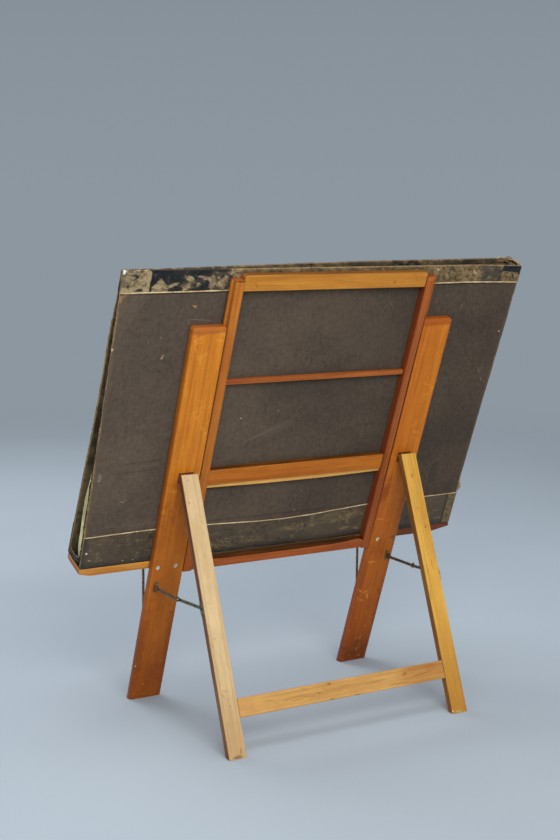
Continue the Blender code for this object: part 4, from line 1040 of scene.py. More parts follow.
# marks on the cloth: x, z, half width, half height (mm), turn (degrees), colour, strength
BACK_SPOTS = [
    (289, 880, 5.5, 0.8, 38, (208, 174, 84), 0.95), (286, 881, 2.5, 0.9, 10, (200, 168, 90), 0.7),
    (338, 779, 2.6, 3.6, 20, (176, 146, 116), 0.8), (336, 784, 1.6, 1.8, 0, (186, 160, 130), 0.7),
    (367, 811, 2.0, 1.4, 10, (48, 40, 36), 0.8), (370, 812, 1.2, 1.2, 10, (170, 150, 126), 0.8),
    (272, 853, 27, 1.5, 6, (122, 110, 98), 0.55), (296, 848, 6, 2.0, 50, (118, 104, 92), 0.4),
    (-430, 805, 1.6, 2.0, 0, (214, 202, 186), 0.9), (-407, 714, 9, 1.0, 62, (150, 138, 124), 0.6),
    (-418, 694, 5, 1.0, 60, (150, 138, 124), 0.55), (-320, 863, 3, 6, 10, (112, 100, 88), 0.5),
    (90, 602, 55, 2.4, -22, (116, 104, 92), 0.6), (60, 612, 44, 12, -22, (102, 92, 82), 0.45),
    (426, 535, 4.2, 9.5, -15, (132, 122, 118), 0.65),
    (428, 528, 2.0, 3.6, -15, (150, 140, 134), 0.6),
    (372, 476, 5, 1.8, 10, (148, 132, 112), 0.6), (366, 479, 2, 1.4, 0, (160, 146, 126), 0.6),
    (439.3, 800, 2.4, 3.0, 0, (214, 194, 160), 0.95), (430, 905, 9, 3.0, -30, (150, 122, 86), 0.6),
    (437, 898, 3.0, 8.0, 0, (164, 136, 96), 0.7), (146, 640, 1.8, 1.8, 0, (196, 184, 168), 0.8),
    (-146, 871, 6, 1.0, 55, (124, 112, 100), 0.6), (150, 868, 3, 1.0, 40, (132, 120, 104), 0.5),
    (-60, 484, 3.4, 3.0, 0, (124, 114, 102), 0.6), (-78, 486, 2.0, 3.4, 0, (124, 114, 102), 0.6),
    # the long dark line at z 909.4 is painted shadow below the band's edge and gold line, with dirt
    # along the fold
    (0, 909.4, 470, 1.8, -0.49, (40, 34, 30), 0.8), (0, 409.5, 470, 2.4, 0, (58, 50, 48), 0.35),
    (-360, 470, 12, 30, 0, (58, 54, 50), 0.4), (-120, 800, 80, 50, 20, (96, 86, 74), 0.25),
    (0, 700, 150, 30, 0, (70, 62, 56), 0.3),
    (352, 560, 62, 1.3, -3, (66, 58, 54), 0.5), (350, 551, 54, 1.1, -2, (108, 98, 88), 0.4),
    (344, 541, 66, 1.5, -3, (66, 58, 54), 0.45), (340, 532, 50, 1.1, -2, (106, 96, 86), 0.35),
    (330, 421, 96, 1.6, 0.4, (112, 108, 112), 0.30),
    (310, 426, 70, 1.2, 0.8, (104, 100, 104), 0.25)]
FRONT_SPOTS = [
    (-210, 640, 60, 1.2, 24, (132, 116, 98), 0.5), (150, 520, 90, 34, -12, (104, 92, 80), 0.4),
    (60, 800, 40, 1.0, -50, (140, 124, 104), 0.45), (-330, 850, 8, 5, 20, (150, 126, 96), 0.6),
    (310, 470, 6, 4, 0, (160, 140, 112), 0.6), (0, 700, 200, 90, 0, (96, 86, 76), 0.3),
    # the long dark line at z 909.8 is painted shadow below the band's edge and gold line, with dirt
    # along the fold
    (0, 909.8, 470, 1.6, 0, (44, 38, 34), 0.7)]

cloth_back = book_cloth("book_cloth_back", warm=(96, 84, 73), cool=(85, 75, 67), seed=2.0,
                        spots=BACK_SPOTS, scuff=0.22)
cloth_front = book_cloth("book_cloth_front", warm=(98, 86, 74), cool=(87, 78, 70), seed=12.6,
                         spots=FRONT_SPOTS, scuff=0.32)
lining_back = board_lining("board_lining_back", (46, 40, 31), (66, 58, 42), seed=4.0, bits=0.12)
lining_front = board_lining("board_lining_front", (72, 62, 44), (112, 98, 68), seed=9.0, bits=0.2)
pulp_back = frayed_cord("board_edge_back", (176, 148, 104), (104, 80, 52), seed=1.0)
pulp_front = frayed_cord("board_edge_front", (168, 138, 92), (96, 74, 48), seed=6.0,
                         low=(520, 570, (46, 40, 33)))


def make_board(board, foot, top, materials, seed):
    """Cloth board with rounded, slightly ragged edges; materials are face, lining and rim."""
    x, z = np.meshgrid(edge_dense(-HALF, HALF), edge_dense(foot, top), indexing="ij")
    from_end = np.minimum(z - foot, top - z)
    from_edge = np.minimum(HALF - np.abs(x), from_end)
    radius = 0.0011
    inside = np.clip(1 - from_edge / radius, 0, 1)
    drop = radius * (1 - np.sqrt(1 - inside * inside))
    wave = (0.00012 * fbm(x / 0.055, z / 0.055, 3, seed)
            + 0.00008 * fbm(x / 0.012, z / 0.018, 2, seed + 5))
    near = 1 - smooth(from_edge, 0.0, 0.005)
    side = np.sign(x)
    ragged_x = side * near * (0.00045 * fbm(z / 0.010, side * 3, 3, seed + 9)
                              + 0.0004 * fbm(z / 0.09, side * 5.0, 2, seed + 3))
    ragged_z = near * 0.0003 * fbm(x / 0.012, np.sign(z - 0.6), 3, seed + 11) * (from_end < 0.006)
    x, z = x + ragged_x, z + ragged_z
    outer = board_point(board, x, drop - wave + 0.00010, z)
    inner = board_point(board, x - side * near * 0.0002, THICK - drop * 0.6, z)
    piece = shell(f"portfolio_{board}_cloth_board", outer, inner, materials,
                  {"edge_d": from_edge}, wall_slot=2, inner_slot=1)
    register(piece, BODIES[board], f"folio_{board}_board")


make_board("back", BACK_FOOT, BACK_TOP, [cloth_back, lining_back, pulp_back], seed=31)
make_board("front", FRONT_FOOT, FRONT_TOP, [cloth_front, lining_front, pulp_front], seed=57)


# ------------------------------------------------------------------ leather bands
def board_turn(z, sign):
    """Section rows round a board's edge; sign is +1 over the top, -1 under the foot."""
    bend = 0.0008
    angles = [math.pi / 2 * k / 3 for k in (1, 2, 3)]
    rows = [(bend - bend * math.cos(a), z + sign * bend * math.sin(a),
             -math.cos(a), sign * math.sin(a)) for a in angles]
    rows += [(bend + (THICK - 2 * bend) * k / 3, z + sign * bend, 0.0, sign * 1.0)
             for k in (1, 2, 3)]
    rows += [(THICK - bend + bend * math.sin(a), z + sign * bend * math.cos(a),
              math.sin(a), sign * math.cos(a)) for a in angles]
    return rows


def band_section(foot, top, over_top):
    """Rows of depth, z and outward normal (depth, z), round one edge of the board."""
    bend, margin = 0.0008, 0.0004
    count = int(round((top - foot) / 0.0019))
    rows = [(0.0, foot + (top - foot) * i / count, -1.0, 0.0) for i in range(count + 1)]
    if over_top:
        z = top - bend
        rows = [row for row in rows if row[1] < z - margin]
        rows += [(0.0, z, -1.0, 0.0)] + board_turn(z, 1)
        rows += [(THICK, z - 0.0018 * k, 1.0, 0.0) for k in range(1, 6)]
    else:
        z = foot + bend
        turn = [(0.0, z, -1.0, 0.0)] + board_turn(z, -1)
        rows = turn[::-1] + [row for row in rows if row[1] > z + margin]
    return np.array(rows)


def band(board, level, foot, top, wear_at, tone_at, material, free_edge, seed):
    """Worn leather over the high or low edge of a board; wear_at and tone_at take mm."""
    high = level == "high"
    rows = band_section(foot, top, over_top=high)
    x = np.concatenate([[-HALF - 0.0003, -HALF + 0.0006, -HALF + 0.0016],
                        np.linspace(-HALF + 0.003, HALF - 0.003, 392),
                        [HALF - 0.0016, HALF - 0.0006, HALF + 0.0003]])
    x, row = np.meshgrid(x, np.arange(len(rows)), indexing="ij")
    depth, z, normal_depth, normal_z = (rows[:, k][row] for k in range(4))
    # the free edge follows the gold line
    fixed, free = (top, foot) if high else (foot, top)
    share = np.clip((z - fixed) / (free - fixed), 0, 1)
    z = np.where(normal_depth == -1.0, z + (free_edge(x) - free) * share, z)
    x_mm, z_mm = x / MM, z / MM
    fine = fbm(x_mm / 3.2, z_mm / 3.0, 2, seed + 7)
    wear = wear_at(x_mm, z_mm) + 0.28 * fbm(x_mm / 9.0, z_mm / 7.0, 3, seed + 2) + 0.12 * fine
    torn = smooth(wear, 0.46, 0.56)
    torn_rim = np.exp(-((wear - 0.46) / 0.035) ** 2)
    thick = 0.00058 + 0.00007 * fine + 0.00006 * fbm(x_mm / 30, z_mm / 20, 2, seed)
    thick = np.clip(thick * (1 - 0.62 * torn) + 0.00016 * torn_rim, 0.00015, 0.00086)
    thick = thick * (0.35 + 0.65 * smooth(HALF - np.abs(x), -0.0004, 0.0012))
    from_end = np.minimum(row, len(rows) - 1 - row)
    thick = thick * np.clip(0.35 + 0.65 * from_end, 0, 1) + 0.00012
    outer = board_point(board, x, depth + normal_depth * thick, z + normal_z * thick)
    inner = board_point(board, x, depth + normal_depth * 0.00002, z + normal_z * 0.00002)
    from_edge = np.minimum(HALF - np.abs(x), np.where(np.abs(normal_depth) < 0.99, 0.0004, 0.03))
    piece = shell(f"portfolio_{board}_{level}_leather", outer, inner, [material], {
        "wear": wear, "tone": tone_at(x_mm, z_mm), "edge_d": np.clip(from_edge, 0, 1)})
    register(piece, BODIES[board], f"folio_{board}_{level}_band")


def along(x, points):
    return np.interp(x, *np.transpose(points))


def bell(value, centre, width):
    return np.exp(-((value - centre) / width) ** 2)


def add_blobs(total, x, z, blobs):
    """Add soft ellipses; rows: amount, centre x, z, half width, half height, turn (degrees)."""
    for amount, centre_x, centre_z, half_width, half_height, turn in blobs:
        angle = math.radians(turn)
        u, v = x - centre_x, z - centre_z
        p = (u * math.cos(angle) + v * math.sin(angle)) / half_width
        q = (-u * math.sin(angle) + v * math.cos(angle)) / half_height
        total = total + amount * np.exp(-(p * p + q * q))
    return total


# base wear of the back high band: x (mm), wear
BACK_HIGH_WEAR = [
    (-442, 0.55), (-424, 0.40), (-398, 0.42), (-392, 0.36), (-350, 0.34), (-342, 0.72),
    (-222, 0.70), (-100, 0.60), (100, 0.60), (222, 0.60), (232, 0.34), (262, 0.36), (268, 0.24),
    (384, 0.20), (387, 0.84), (430, 0.80), (442, 0.66)]
BACK_HIGH_BLOBS = [
    (0.75, 343, 922.5, 13, 2.6, -20), (0.52, 316, 922, 11, 6, 0), (0.5, 306, 934, 14, 5, 25),
    (0.75, 276, 936, 15, 2.2, 12), (0.8, 262, 924, 5, 9, 0), (0.6, 243, 925, 9, 9, 0),
    (0.12, 300, 918, 50, 3.0, 0), (-0.50, 424, 936, 8, 4, 0), (-0.55, 412, 940, 5, 3, 0),
    (-0.75, 427, 921, 3, 4, 0), (-0.60, 405, 915, 9, 2.2, 0), (-0.45, 418, 943, 12, 1.8, 0)]
# base tone: x (mm), tone
BACK_HIGH_TONE = [
    (-442, 0.05), (-398, 0.05), (-390, 0.55), (-230, 0.75), (-100, 0.6), (100, 0.6), (222, 0.55),
    (236, 0.25), (300, 0.12), (384, 0.04), (442, 0.5)]


def wear_back_high(x, z):
    wear = along(x, BACK_HIGH_WEAR)
    # whole ink-blue skin at the top left corner
    skin_z = 940.5 + 2.6 * fbm(x / 7.0, 0.2, 3, 211)
    skin_x = 396 + 3.0 * fbm(z / 5.0, 0.9, 2, 213)
    wear = wear - 0.75 * smooth(-x, skin_x, skin_x + 4) * smooth(z, skin_z - 1.5, skin_z + 1.5)
    wear = wear + 0.45 * smooth(-x, skin_x, skin_x + 6) * (1 - smooth(z, skin_z - 3, skin_z))
    wear = wear - 0.6 * smooth(-x, 432, 437) * smooth(z, 926, 936)
    # torn triangular bite out of the ink-blue part on the right
    half_width = 15.5 * np.clip((937 - z) / 17, 0.02, 1)
    bite = np.clip(1 - np.abs(x - 365) / half_width, 0, 1) * (z < 937)
    wear = wear + 0.9 * (bite > 0.02) * smooth(937 - z, 0, 2)
    wear = add_blobs(wear, x, z, BACK_HIGH_BLOBS)
    # rubbed top edge
    whole = smooth(x, 222, 240) * (1 - smooth(x, 386, 394))
    rub = 0.22 + 0.3 * fbm(x / 24, 0.3, 2, 207)
    wear = wear + rub * smooth(z, 949.5, 952.0) * (1 - whole)
    return wear - 0.5 * smooth(z, 949.5, 951.5) * smooth(x, 232, 240)


def tone_back_high(x, z):
    return np.clip(along(x, BACK_HIGH_TONE) + 0.15 * fbm(x / 40, z / 20, 2, 5), 0, 1)


def wear_back_low(x, z):
    wear = 0.30 + 0.10 * fbm(x / 60, z / 26, 3, 91) + 0.10 * fbm(x / 10, z / 7, 2, 92)
    wear = wear + 0.55 * smooth(-x, 416, 421)
    wear = wear - 0.25 * bell(z, 336, 7.0) - 0.2 * smooth(x, 424, 438)
    return add_blobs(wear, x, z, [
        (0.3, 150, 352, 46, 9, 8), (0.3, -40, 372, 60, 9, -5), (0.35, -150, 385, 40, 12, 0),
        (-0.5, -417, 372, 1.4, 60, 0)])


def tone_back_low(x, z):
    tone = 0.86 - 0.55 * bell(z, 336, 8.0) - 0.5 * smooth(x, 426, 440)
    tone = tone + 0.2 * fbm(x / 50, z / 30, 3, 95)
    return np.clip(add_blobs(tone, x, z, [(-0.8, -417, 372, 2.0, 60, 0)]), 0, 1)


def wear_front_high(x, z):
    wear = 0.40 + 0.34 * fbm(x / 70, z / 30, 3, 41) + 0.16 * fbm(x / 18, z / 10, 2, 42)
    rub = 0.05 + 0.3 * fbm(x / 30, 0.7, 2, 209)
    wear = wear + 0.35 * smooth(np.abs(x), 424, 438)
    wear = wear + rub * smooth(z, 949, 952) * (1 - smooth(x, 190, 240))
    return add_blobs(wear, x, z, [(0.5, -205, 920, 16, 9, 0), (0.5, 120, 926, 26, 6, 12),
                                  (0.5, 330, 918, 22, 6, 0)])


def tone_front_high(x, z):
    return np.clip(0.35 + 0.5 * fbm(x / 90, z / 30, 2, 45), 0, 1)


def wear_front_low(x, z):
    wear = 0.36 + 0.26 * fbm(x / 60, z / 26, 3, 51) + 0.12 * fbm(x / 14, z / 9, 2, 52)
    return wear + 0.4 * smooth(np.abs(x), 426, 438) + 0.45 * bell(z, 337, 4.0)


def tone_front_low(x, z):
    return np.clip(0.6 + 0.5 * fbm(x / 70, z / 30, 2, 55), 0, 1)


# free edges of the bands, each with a gold line on it
# sagging edge of the back low band: x, z (mm)
SAG = [(-442, 410.4), (-330, 409.6), (-222, 408.4), (-150, 403.5), (-60, 397.2), (0, 395.2),
       (60, 396.0), (120, 399.4), (182, 402.4), (260, 404.8), (320, 405.2), (400, 403.4),
       (442, 402.6)]


def back_low_line(x):
    return along(x / MM, SAG) * MM + 0.0004 * fbm(x / 0.03, 0.5, 2, 77)


def back_high_line(x):
    return BACK_HIGH_FOOT - 0.0012 - 0.0038 * (x / HALF) + 0.0005 * fbm(x / 0.10, 0.2, 2, 78)


def front_low_line(x):
    return FRONT_LOW_TOP - 0.0006 + 0.0012 * fbm(x / 0.14, 0.5, 2, 177)


def front_high_line(x):
    return FRONT_HIGH_FOOT + 0.0010 + 0.0006 * fbm(x / 0.10, 0.2, 2, 178)


INK = (14, 21, 27)
leather_back_high = leather(
    "leather_back_high", INK, (92, 80, 62), seed=1.3, fade=(190, 236, (0.68, 0.60, 0.52)), spots=[
        (437.5, 949.5, 3.4, 4.2, 20, (236, 230, 218), 1.0),
        (434, 946, 1.6, 1.4, 0, (40, 34, 30), 0.8),
        (303, 937, 5.5, 0.8, 42, (186, 180, 164), 0.75),
        (300, 934, 3.5, 0.7, 60, (176, 168, 150), 0.6),
        (-425.5, 929.5, 1.5, 10.5, -33, (26, 24, 22), 0.95),
        (-420, 921, 3.2, 1.4, 0, (30, 28, 26), 0.8),
        (-238, 944, 2.0, 2.6, 20, (206, 196, 172), 0.8),
        (-262, 932, 2.4, 9, -40, (150, 132, 96), 0.6),
        (-330, 938, 3, 8, -40, (186, 166, 126), 0.6)])
leather_back_low = leather(
    "leather_back_low", (46, 44, 42), (84, 72, 56), seed=5.9,
    tan_light=(120, 101, 72), tan_dark=(92, 79, 58), spots=[
        (431, 367, 2.6, 2.4, 0, (226, 214, 200), 0.95),
        (423, 350, 3.6, 2.2, 20, (132, 134, 132), 0.75),
        (-417, 372, 1.2, 60, 0, (26, 24, 22), 0.9),
        (-250, 346, 3.0, 1.6, 0, (176, 160, 128), 0.7),
        (-190, 350, 9, 4, 10, (140, 118, 80), 0.5), (-160, 354, 14, 3, -8, (150, 124, 84), 0.5),
        (330, 340, 1.6, 1.2, 0, (200, 186, 160), 0.8),
        (352, 341, 2.2, 1.2, 0, (180, 168, 146), 0.7), (60, 350, 40, 3, 3, (110, 92, 66), 0.4)])
band("back", "high", BACK_HIGH_FOOT, BACK_TOP, wear_back_high, tone_back_high,
     leather_back_high, back_high_line, seed=3)
band("back", "low", BACK_FOOT, BACK_LOW_TOP, wear_back_low, tone_back_low,
     leather_back_low, back_low_line, seed=13)

leather_front_high = leather(
    "leather_front_high", (22, 27, 30), (98, 84, 64), seed=8.8, rim=0.45,
    tan_light=(142, 120, 84), tan_dark=(90, 72, 48), fade=(150, 240, (0.80, 0.76, 0.72)),
    spots=[(-424, 945.3, 19, 1.3, 0, (15, 12, 11), 0.95),
           (-396, 946.4, 26, 0.8, 1, (30, 22, 18), 0.7)])
leather_front_low = leather("leather_front_low", (50, 51, 55), (86, 75, 57), seed=15.1,
                            tan_light=(128, 106, 74), tan_dark=(94, 80, 58))
band("front", "high", FRONT_HIGH_FOOT, FRONT_TOP, wear_front_high, tone_front_high,
     leather_front_high, front_high_line, seed=23)
band("front", "low", FRONT_FOOT, FRONT_LOW_TOP, wear_front_low, tone_front_low,
     leather_front_low, front_low_line, seed=33)


def fillet(board, level, line, material, seed):
    """Flattened gold cord along a band's free edge."""
    x = np.linspace(-HALF + 0.0008, HALF - 0.0008, 260)
    z = line(x) + 0.00012 * fbm(x / 0.008, 0.3, 2, seed)
    radii = np.clip(0.00142 * (0.86 + 0.30 * fbm(x / 0.016, 0.7, 3, seed + 3)), 0.0006, 0.0021)
    radii[[0, -1]] *= 0.4
    piece = tube(f"portfolio_{board}_{level}_gold_line", board_point(board, x, -0.00055, z),
                 radii, material, sides=8, squash=0.36)
    register(piece, BODIES[board])


gold_back, gold_front = gold_line("gold_fillet_back", 1.0), gold_line("gold_fillet_front", 5.0)
fillet("back", "high", back_high_line, gold_back, seed=201)
fillet("back", "low", back_low_line, gold_back, seed=211)
fillet("front", "high", front_high_line, gold_front, seed=221)
fillet("front", "low", front_low_line, gold_front, seed=231)


# ------------------------------------------------------------------ leather spine under the boards
def spine_section():
    """U from the back board under to the front board: rows of y, z and outward normal."""
    spine_lo, spine_hi = upright_box("folio_spine")
    back_y, front_y = spine_hi[1] - 0.0003, spine_lo[1] + 0.0002
    bend = 0.0014
    bottom = upright_box("ledge")[1][2] + 0.0004
    back_bend, front_bend = back_y - bend, front_y + bend
    angles = [math.pi / 2 * k / 4 for k in range(1, 5)]
    rows = [(back_y, BACK_FOOT - 0.0004, 1.0, 0.0)]
    rows += [(back_bend + bend * math.cos(a), bottom + bend - bend * math.sin(a),
              math.cos(a), -math.sin(a)) for a in angles]
    rows += [(back_bend + (front_bend - back_bend) * k / 24, bottom, 0.0, -1.0)
             for k in range(1, 25)]
    rows += [(front_bend - bend * math.sin(a), bottom + bend - bend * math.cos(a),
              -math.sin(a), -math.cos(a)) for a in angles]
    rows.append((front_y, BACK_FOOT - 0.0002, -1.0, 0.0))
    return np.array(rows)


def make_spine():
    rows = spine_section()
    x = np.concatenate([[-HALF - 0.0002], np.linspace(-HALF + 0.001, HALF - 0.001, 250),
                        [HALF + 0.0002]])
    x, row = np.meshgrid(x, np.arange(len(rows)), indexing="ij")
    y, z, normal_y, normal_z = (rows[:, k][row] for k in range(4))
    fray = 0.0016 * fbm(y / 0.006, np.sign(x) * 2.0, 3, 61)
    frayed_x = np.where(np.abs(x) > HALF - 0.0004, x - np.sign(x) * (0.0016 + fray), x)
    bump = 0.00015 * fbm(x / 0.02, y / 0.02, 3, 66) * 0.3
    outer = np.stack([frayed_x, y + normal_y * bump, z + normal_z * bump], -1)
    inner = np.stack([frayed_x, y - normal_y * 0.0009, z - normal_z * 0.0009], -1)
    wear = 0.30 + 0.30 * fbm(x / 0.05, y / 0.03, 3, 68)
    wear = wear + 0.3 * smooth(np.abs(x), HALF - 0.006, HALF)
    piece = shell("portfolio_spine_leather", outer, inner,
                  [leather("leather_spine", INK, (70, 66, 60), seed=21.0)], {
                      "wear": wear,
                      "tone": np.clip(0.2 + 0.4 * fbm(x / 0.1, y / 0.05, 2, 69), 0, 1),
                      "edge_d": np.clip(HALF - np.abs(x), 0, 0.02)})
    register(piece, "portfolio", "folio_spine")


make_spine()

# ------------------------------------------------------------------ cloth flaps between the boards
# section of a flap: distance in from the fold (mm), share of the fold's depth
FLAP_SECTION = [(10, 0.0), (5, 0.0), (1.5, 0.05), (0.2, 0.15), (-0.2, 0.30), (-0.1, 0.45),
                (0.2, 0.60), (0.6, 0.74), (1.2, 0.86), (2.4, 0.96), (4.4, 1.0)]
FLAP_SECTION += [(4.4 + (86 - 4.4) * k / 18, 1.0) for k in range(1, 19)]


def flap(side, sign, seed):
    node = "folio_flap_" + side
    lo, hi = upright_box(node)
    foot, top = lo[2], hi[2]
    fold_x = max(abs(lo[0]), abs(hi[0]))
    section = np.array(FLAP_SECTION)
    z, row = np.meshgrid(np.linspace(foot, top, 110), np.arange(len(section)), indexing="ij")
    gap = hi[1] - (front_face_y(sign * fold_x, z) + THICK) - 0.0030
    depth = 0.0240 - 0.0160 * smooth(z, 0.47, 0.56) - 0.0040 * (1 - smooth(z, foot, foot + 0.05))
    depth = np.clip(np.minimum(depth, gap), 0.002, 0.025)
    x = (fold_x - section[:, 0] * MM)[row]
    y = hi[1] - 0.0004 - section[:, 1][row] * depth + corner_lift(sign * x, z)
    # crumples grow away from the board
    loose = smooth(row, 1.0, 6.0)
    fine = fbm(z / 0.013, row * 0.2, 2, seed + 4)
    crumple_x = loose * (0.0014 * fbm(z / 0.034, row * 0.08, 3, seed) + 0.0006 * fine)
    crumple_y = loose * (0.0016 * fbm(z / 0.045, x / 0.03, 3, seed + 8) + 0.0005 * fine)
    near_end = np.minimum(z - foot, top - z) < 0.006
    end_z = z + 0.0020 * fbm(x / 0.012, np.sign(z - 0.55) * 2.0, 3, seed + 11) * near_end
    normal_x, normal_y = np.gradient(y, axis=1), -np.gradient(x, axis=1)
    length = np.sqrt(normal_x * normal_x + normal_y * normal_y)
    normal = np.stack([sign * normal_x / length, normal_y / length, normal_x * 0], -1)
    middle = np.stack([sign * (x + crumple_x - 0.0006), y + crumple_y, end_z], -1)
    half_thick = 0.00035
    piece = shell("portfolio_cloth_flap_" + side, middle + normal * half_thick,
                  middle - normal * half_thick, [flap_fabric("flap_fabric_" + side, seed * 0.01)])
    register(piece, "portfolio", node)
    # torn hem: a dark wavy cord between flap and board edge
    z = np.linspace(foot - 0.004, BACK_TOP - 0.012, 300)
    hem_x = sign * (HALF - 0.0004 + 0.0008 * fbm(z / 0.016, 0.9, 3, seed + 25))
    hem_y = (BACK_INNER_Y - 0.0018 + 0.0016 * fbm(z / 0.011, 0.4, 3, seed + 21)
             + corner_lift(sign * (HALF - 0.0004), z))
    radii = np.clip(0.00125 * (1 + 0.9 * fbm(z / 0.008, 0.2, 2, seed + 29)), 0.0004, 0.0021)
    cord = frayed_cord("hem_" + side, (28, 25, 22), (74, 62, 44), seed * 0.1)
    hem = tube("portfolio_torn_hem_" + side, np.column_stack([hem_x, hem_y, z]), radii, cord,
               sides=6)
    register(hem, "portfolio")


flap("right", 1.0, seed=300)
flap("left", -1.0, seed=340)


# ------------------------------------------------------------------ torn shreds and frayed tufts
def ribbon(name, points, half_widths, across, material, seed, wear=0.75, tone=0.3,
           body="portfolio"):
    """Ragged curling strip along a smooth curve through the points (mm, upright frame)."""
    points = np.asarray(points, float) * MM
    last = len(points) - 1
    t = np.linspace(0, last, 30)
    i = np.clip(t.astype(int), 0, last - 1)
    f = (t - i)[:, None]
    p0, p1, p2, p3 = (points[np.clip(i + k, 0, last)] for k in (-1, 0, 1, 2))
    centre = 0.5 * (2 * p1 + (p2 - p0) * f + (2 * p0 - 5 * p1 + 4 * p2 - p3) * f ** 2
                    + (3 * p1 - p0 - 3 * p2 + p3) * f ** 3)
    tangent = np.gradient(centre, axis=0)
    tangent /= np.linalg.norm(tangent, axis=1)[:, None]
    across = np.asarray(across, float)
    across = across[None, :] - tangent * (tangent @ across)[:, None]
    across /= np.linalg.norm(across, axis=1)[:, None]
    normal = np.cross(tangent, across)[:, None, :]
    width = (np.interp(t, np.arange(len(half_widths)), half_widths) * MM)[:, None]
    t, j = t[:, None], np.linspace(-1, 1, 9)[None]
    jagged = 1 + 0.45 * fbm(t * 3.1, j * 2, 3, seed)
    curl = 0.35 * width * j ** 2 + 0.0003 * fbm(t * 2.3, j * 3, 2, seed + 4)
    middle = (centre[:, None, :] + across[:, None, :] * (j * width * jagged)[..., None]
              + normal * curl[..., None])
    half_thick = 0.0003
    worn = wear + 0.35 * fbm(t * 1.7, j * 1.5, 2, seed + 9)
    piece = shell(name, middle + normal * half_thick, middle - normal * half_thick, [material], {
        "wear": worn, "tone": np.full(worn.shape, tone),
        "edge_d": np.broadcast_to((1 - np.abs(j)) * 0.004, worn.shape)})
    register(piece, body)


# top left corner, between the boards (mm)
front_y = float(front_face_y(-0.436, 0.950)) / MM
inner_y = BACK_INNER_Y / MM
back_y = inner_y + 7.0
middle_y = (front_y + back_y) / 2
shred = leather("leather_shred", INK, (86, 72, 52), seed=31.0,
                tan_light=(178, 150, 108), tan_dark=(110, 84, 56))
ribbon("portfolio_corner_shred_a",
       [(-429, front_y + 2, 948), (-433, front_y + 7, 954), (-437, middle_y, 956),
        (-440, back_y - 6, 953.5), (-440.5, back_y - 2, 947), (-440, back_y - 1, 941)],
       [2.6, 3.4, 2.6, 3.2, 2.4, 1.6], (1, 0, 0), shred, seed=401)
ribbon("portfolio_corner_shred_b",
       [(-420, front_y + 4, 948), (-424, front_y + 10, 951), (-430, middle_y + 2, 951),
        (-436, back_y - 4, 949)],
       [3.0, 3.6, 3.0, 1.8], (1, 0, 0.2), shred, seed=411, wear=0.15)
ribbon("portfolio_corner_shred_c",
       [(-398, front_y + 2, 949.5), (-402, front_y + 2.5, 954), (-408, front_y + 3, 957.5),
        (-413, front_y + 4, 956), (-412, front_y + 4, 951.5)],
       [1.4, 1.6, 1.3, 1.2, 0.8], (0, 1, 0.2), shred, seed=421, body="portfolio_front")
ribbon("portfolio_corner_shred_d",
       [(-340, front_y + 2, 949.8), (-366, front_y + 2.6, 952.6), (-392, front_y + 3, 953.0),
        (-414, front_y + 2.4, 952.8), (-432, front_y + 2.2, 950.5)],
       [1.0, 1.5, 1.3, 1.5, 1.2], (0, 1, 0.1), shred, seed=431, wear=0.5, tone=0.6,
       body="portfolio_front")
ribbon("portfolio_corner_shred_e",
       [(-424, front_y + 1, 950), (-428, front_y + 1, 956), (-433, front_y + 3, 958.4),
        (-437.5, front_y + 6, 956), (-438, front_y + 7, 951)],
       [1.2, 1.7, 1.7, 1.4, 0.9], (0, 1, 0), shred, seed=441, body="portfolio_front")
span = back_y - front_y
ribbon("portfolio_corner_gusset",
       [(-438.5, front_y + 1, 946.5), (-441, front_y + 0.35 * span, 948.0),
        (-441.8, front_y + 0.7 * span, 947.6), (-441.2, back_y - 1.5, 946.5)],
       [5.0, 6.6, 6.4, 4.6], (0, 0, 1), shred, seed=461, wear=0.62, tone=0.7)
# fold at the right foot, shred at the left edge
foot_front_y = float(front_face_y(0.436, 0.350)) / MM
ribbon("portfolio_foot_fold_right",
       [(440.5, inner_y - 1, 353), (443.6, inner_y - 6, 349),
        (444.4, (foot_front_y + inner_y) / 2, 347), (443.0, foot_front_y + 9, 349),
        (440.6, foot_front_y + 4, 354)],
       [4.0, 5.6, 5.0, 5.4, 3.4], (0, 0, 1),
       leather("leather_foot_fold", (16, 26, 30), (60, 62, 52), seed=37.0),
       seed=451, wear=0.18, tone=0.2)
ribbon("portfolio_edge_shred",
       [(-438.5, inner_y + 3, 437), (-443.2, inner_y + 3.6, 431), (-445.6, inner_y + 3.2, 424.5),
        (-444.0, inner_y + 2.6, 417), (-440.0, inner_y + 2, 410)],
       [1.2, 3.0, 3.8, 2.8, 1.2], (1, 0.15, 0),
       leather("leather_edge_shred", (70, 62, 44), (120, 104, 72), seed=33.0,
               tan_light=(190, 168, 120), tan_dark=(132, 112, 76)),
       seed=471, wear=0.85, tone=0.7)

# tufts beside the edge shred: root x, root z, run in x, run in z, radius (mm)
TUFTS = [(-440.2, 425, -7.4, 9.5, 0.95), (-440.4, 423, -9.2, 4.0, 1.0),
         (-440.2, 428, -5.0, 12.0, 0.8), (-440.4, 420, -8.2, -1.5, 0.9),
         (-440.2, 431, -3.4, 9.0, 0.7), (-440.3, 416, -5.4, -5.0, 0.8)]
tuft_fibre = frayed_cord("tuft_fibre", (196, 174, 130), (132, 108, 72), 3.0)
for k, (root_x, root_z, run_x, run_z, radius) in enumerate(TUFTS):
    t = np.linspace(0, 1, 9)
    points = np.column_stack([root_x + run_x * t + 0.8 * fbm(t * 3, k, 2, 500 + k),
                              inner_y + 1.2 + 0.8 * fbm(t * 3, k + 9, 2, 520 + k),
                              root_z + run_z * t - 1.5 * t * t]) * MM
    tuft = tube(f"portfolio_edge_tuft_{k}", points, np.clip(radius * (1.15 - t), 0.12, None) * MM,
                tuft_fibre, sides=6)
    register(tuft, "portfolio")

# ------------------------------------------------------------------ studio
HORIZON = linear((140, 151, 160))


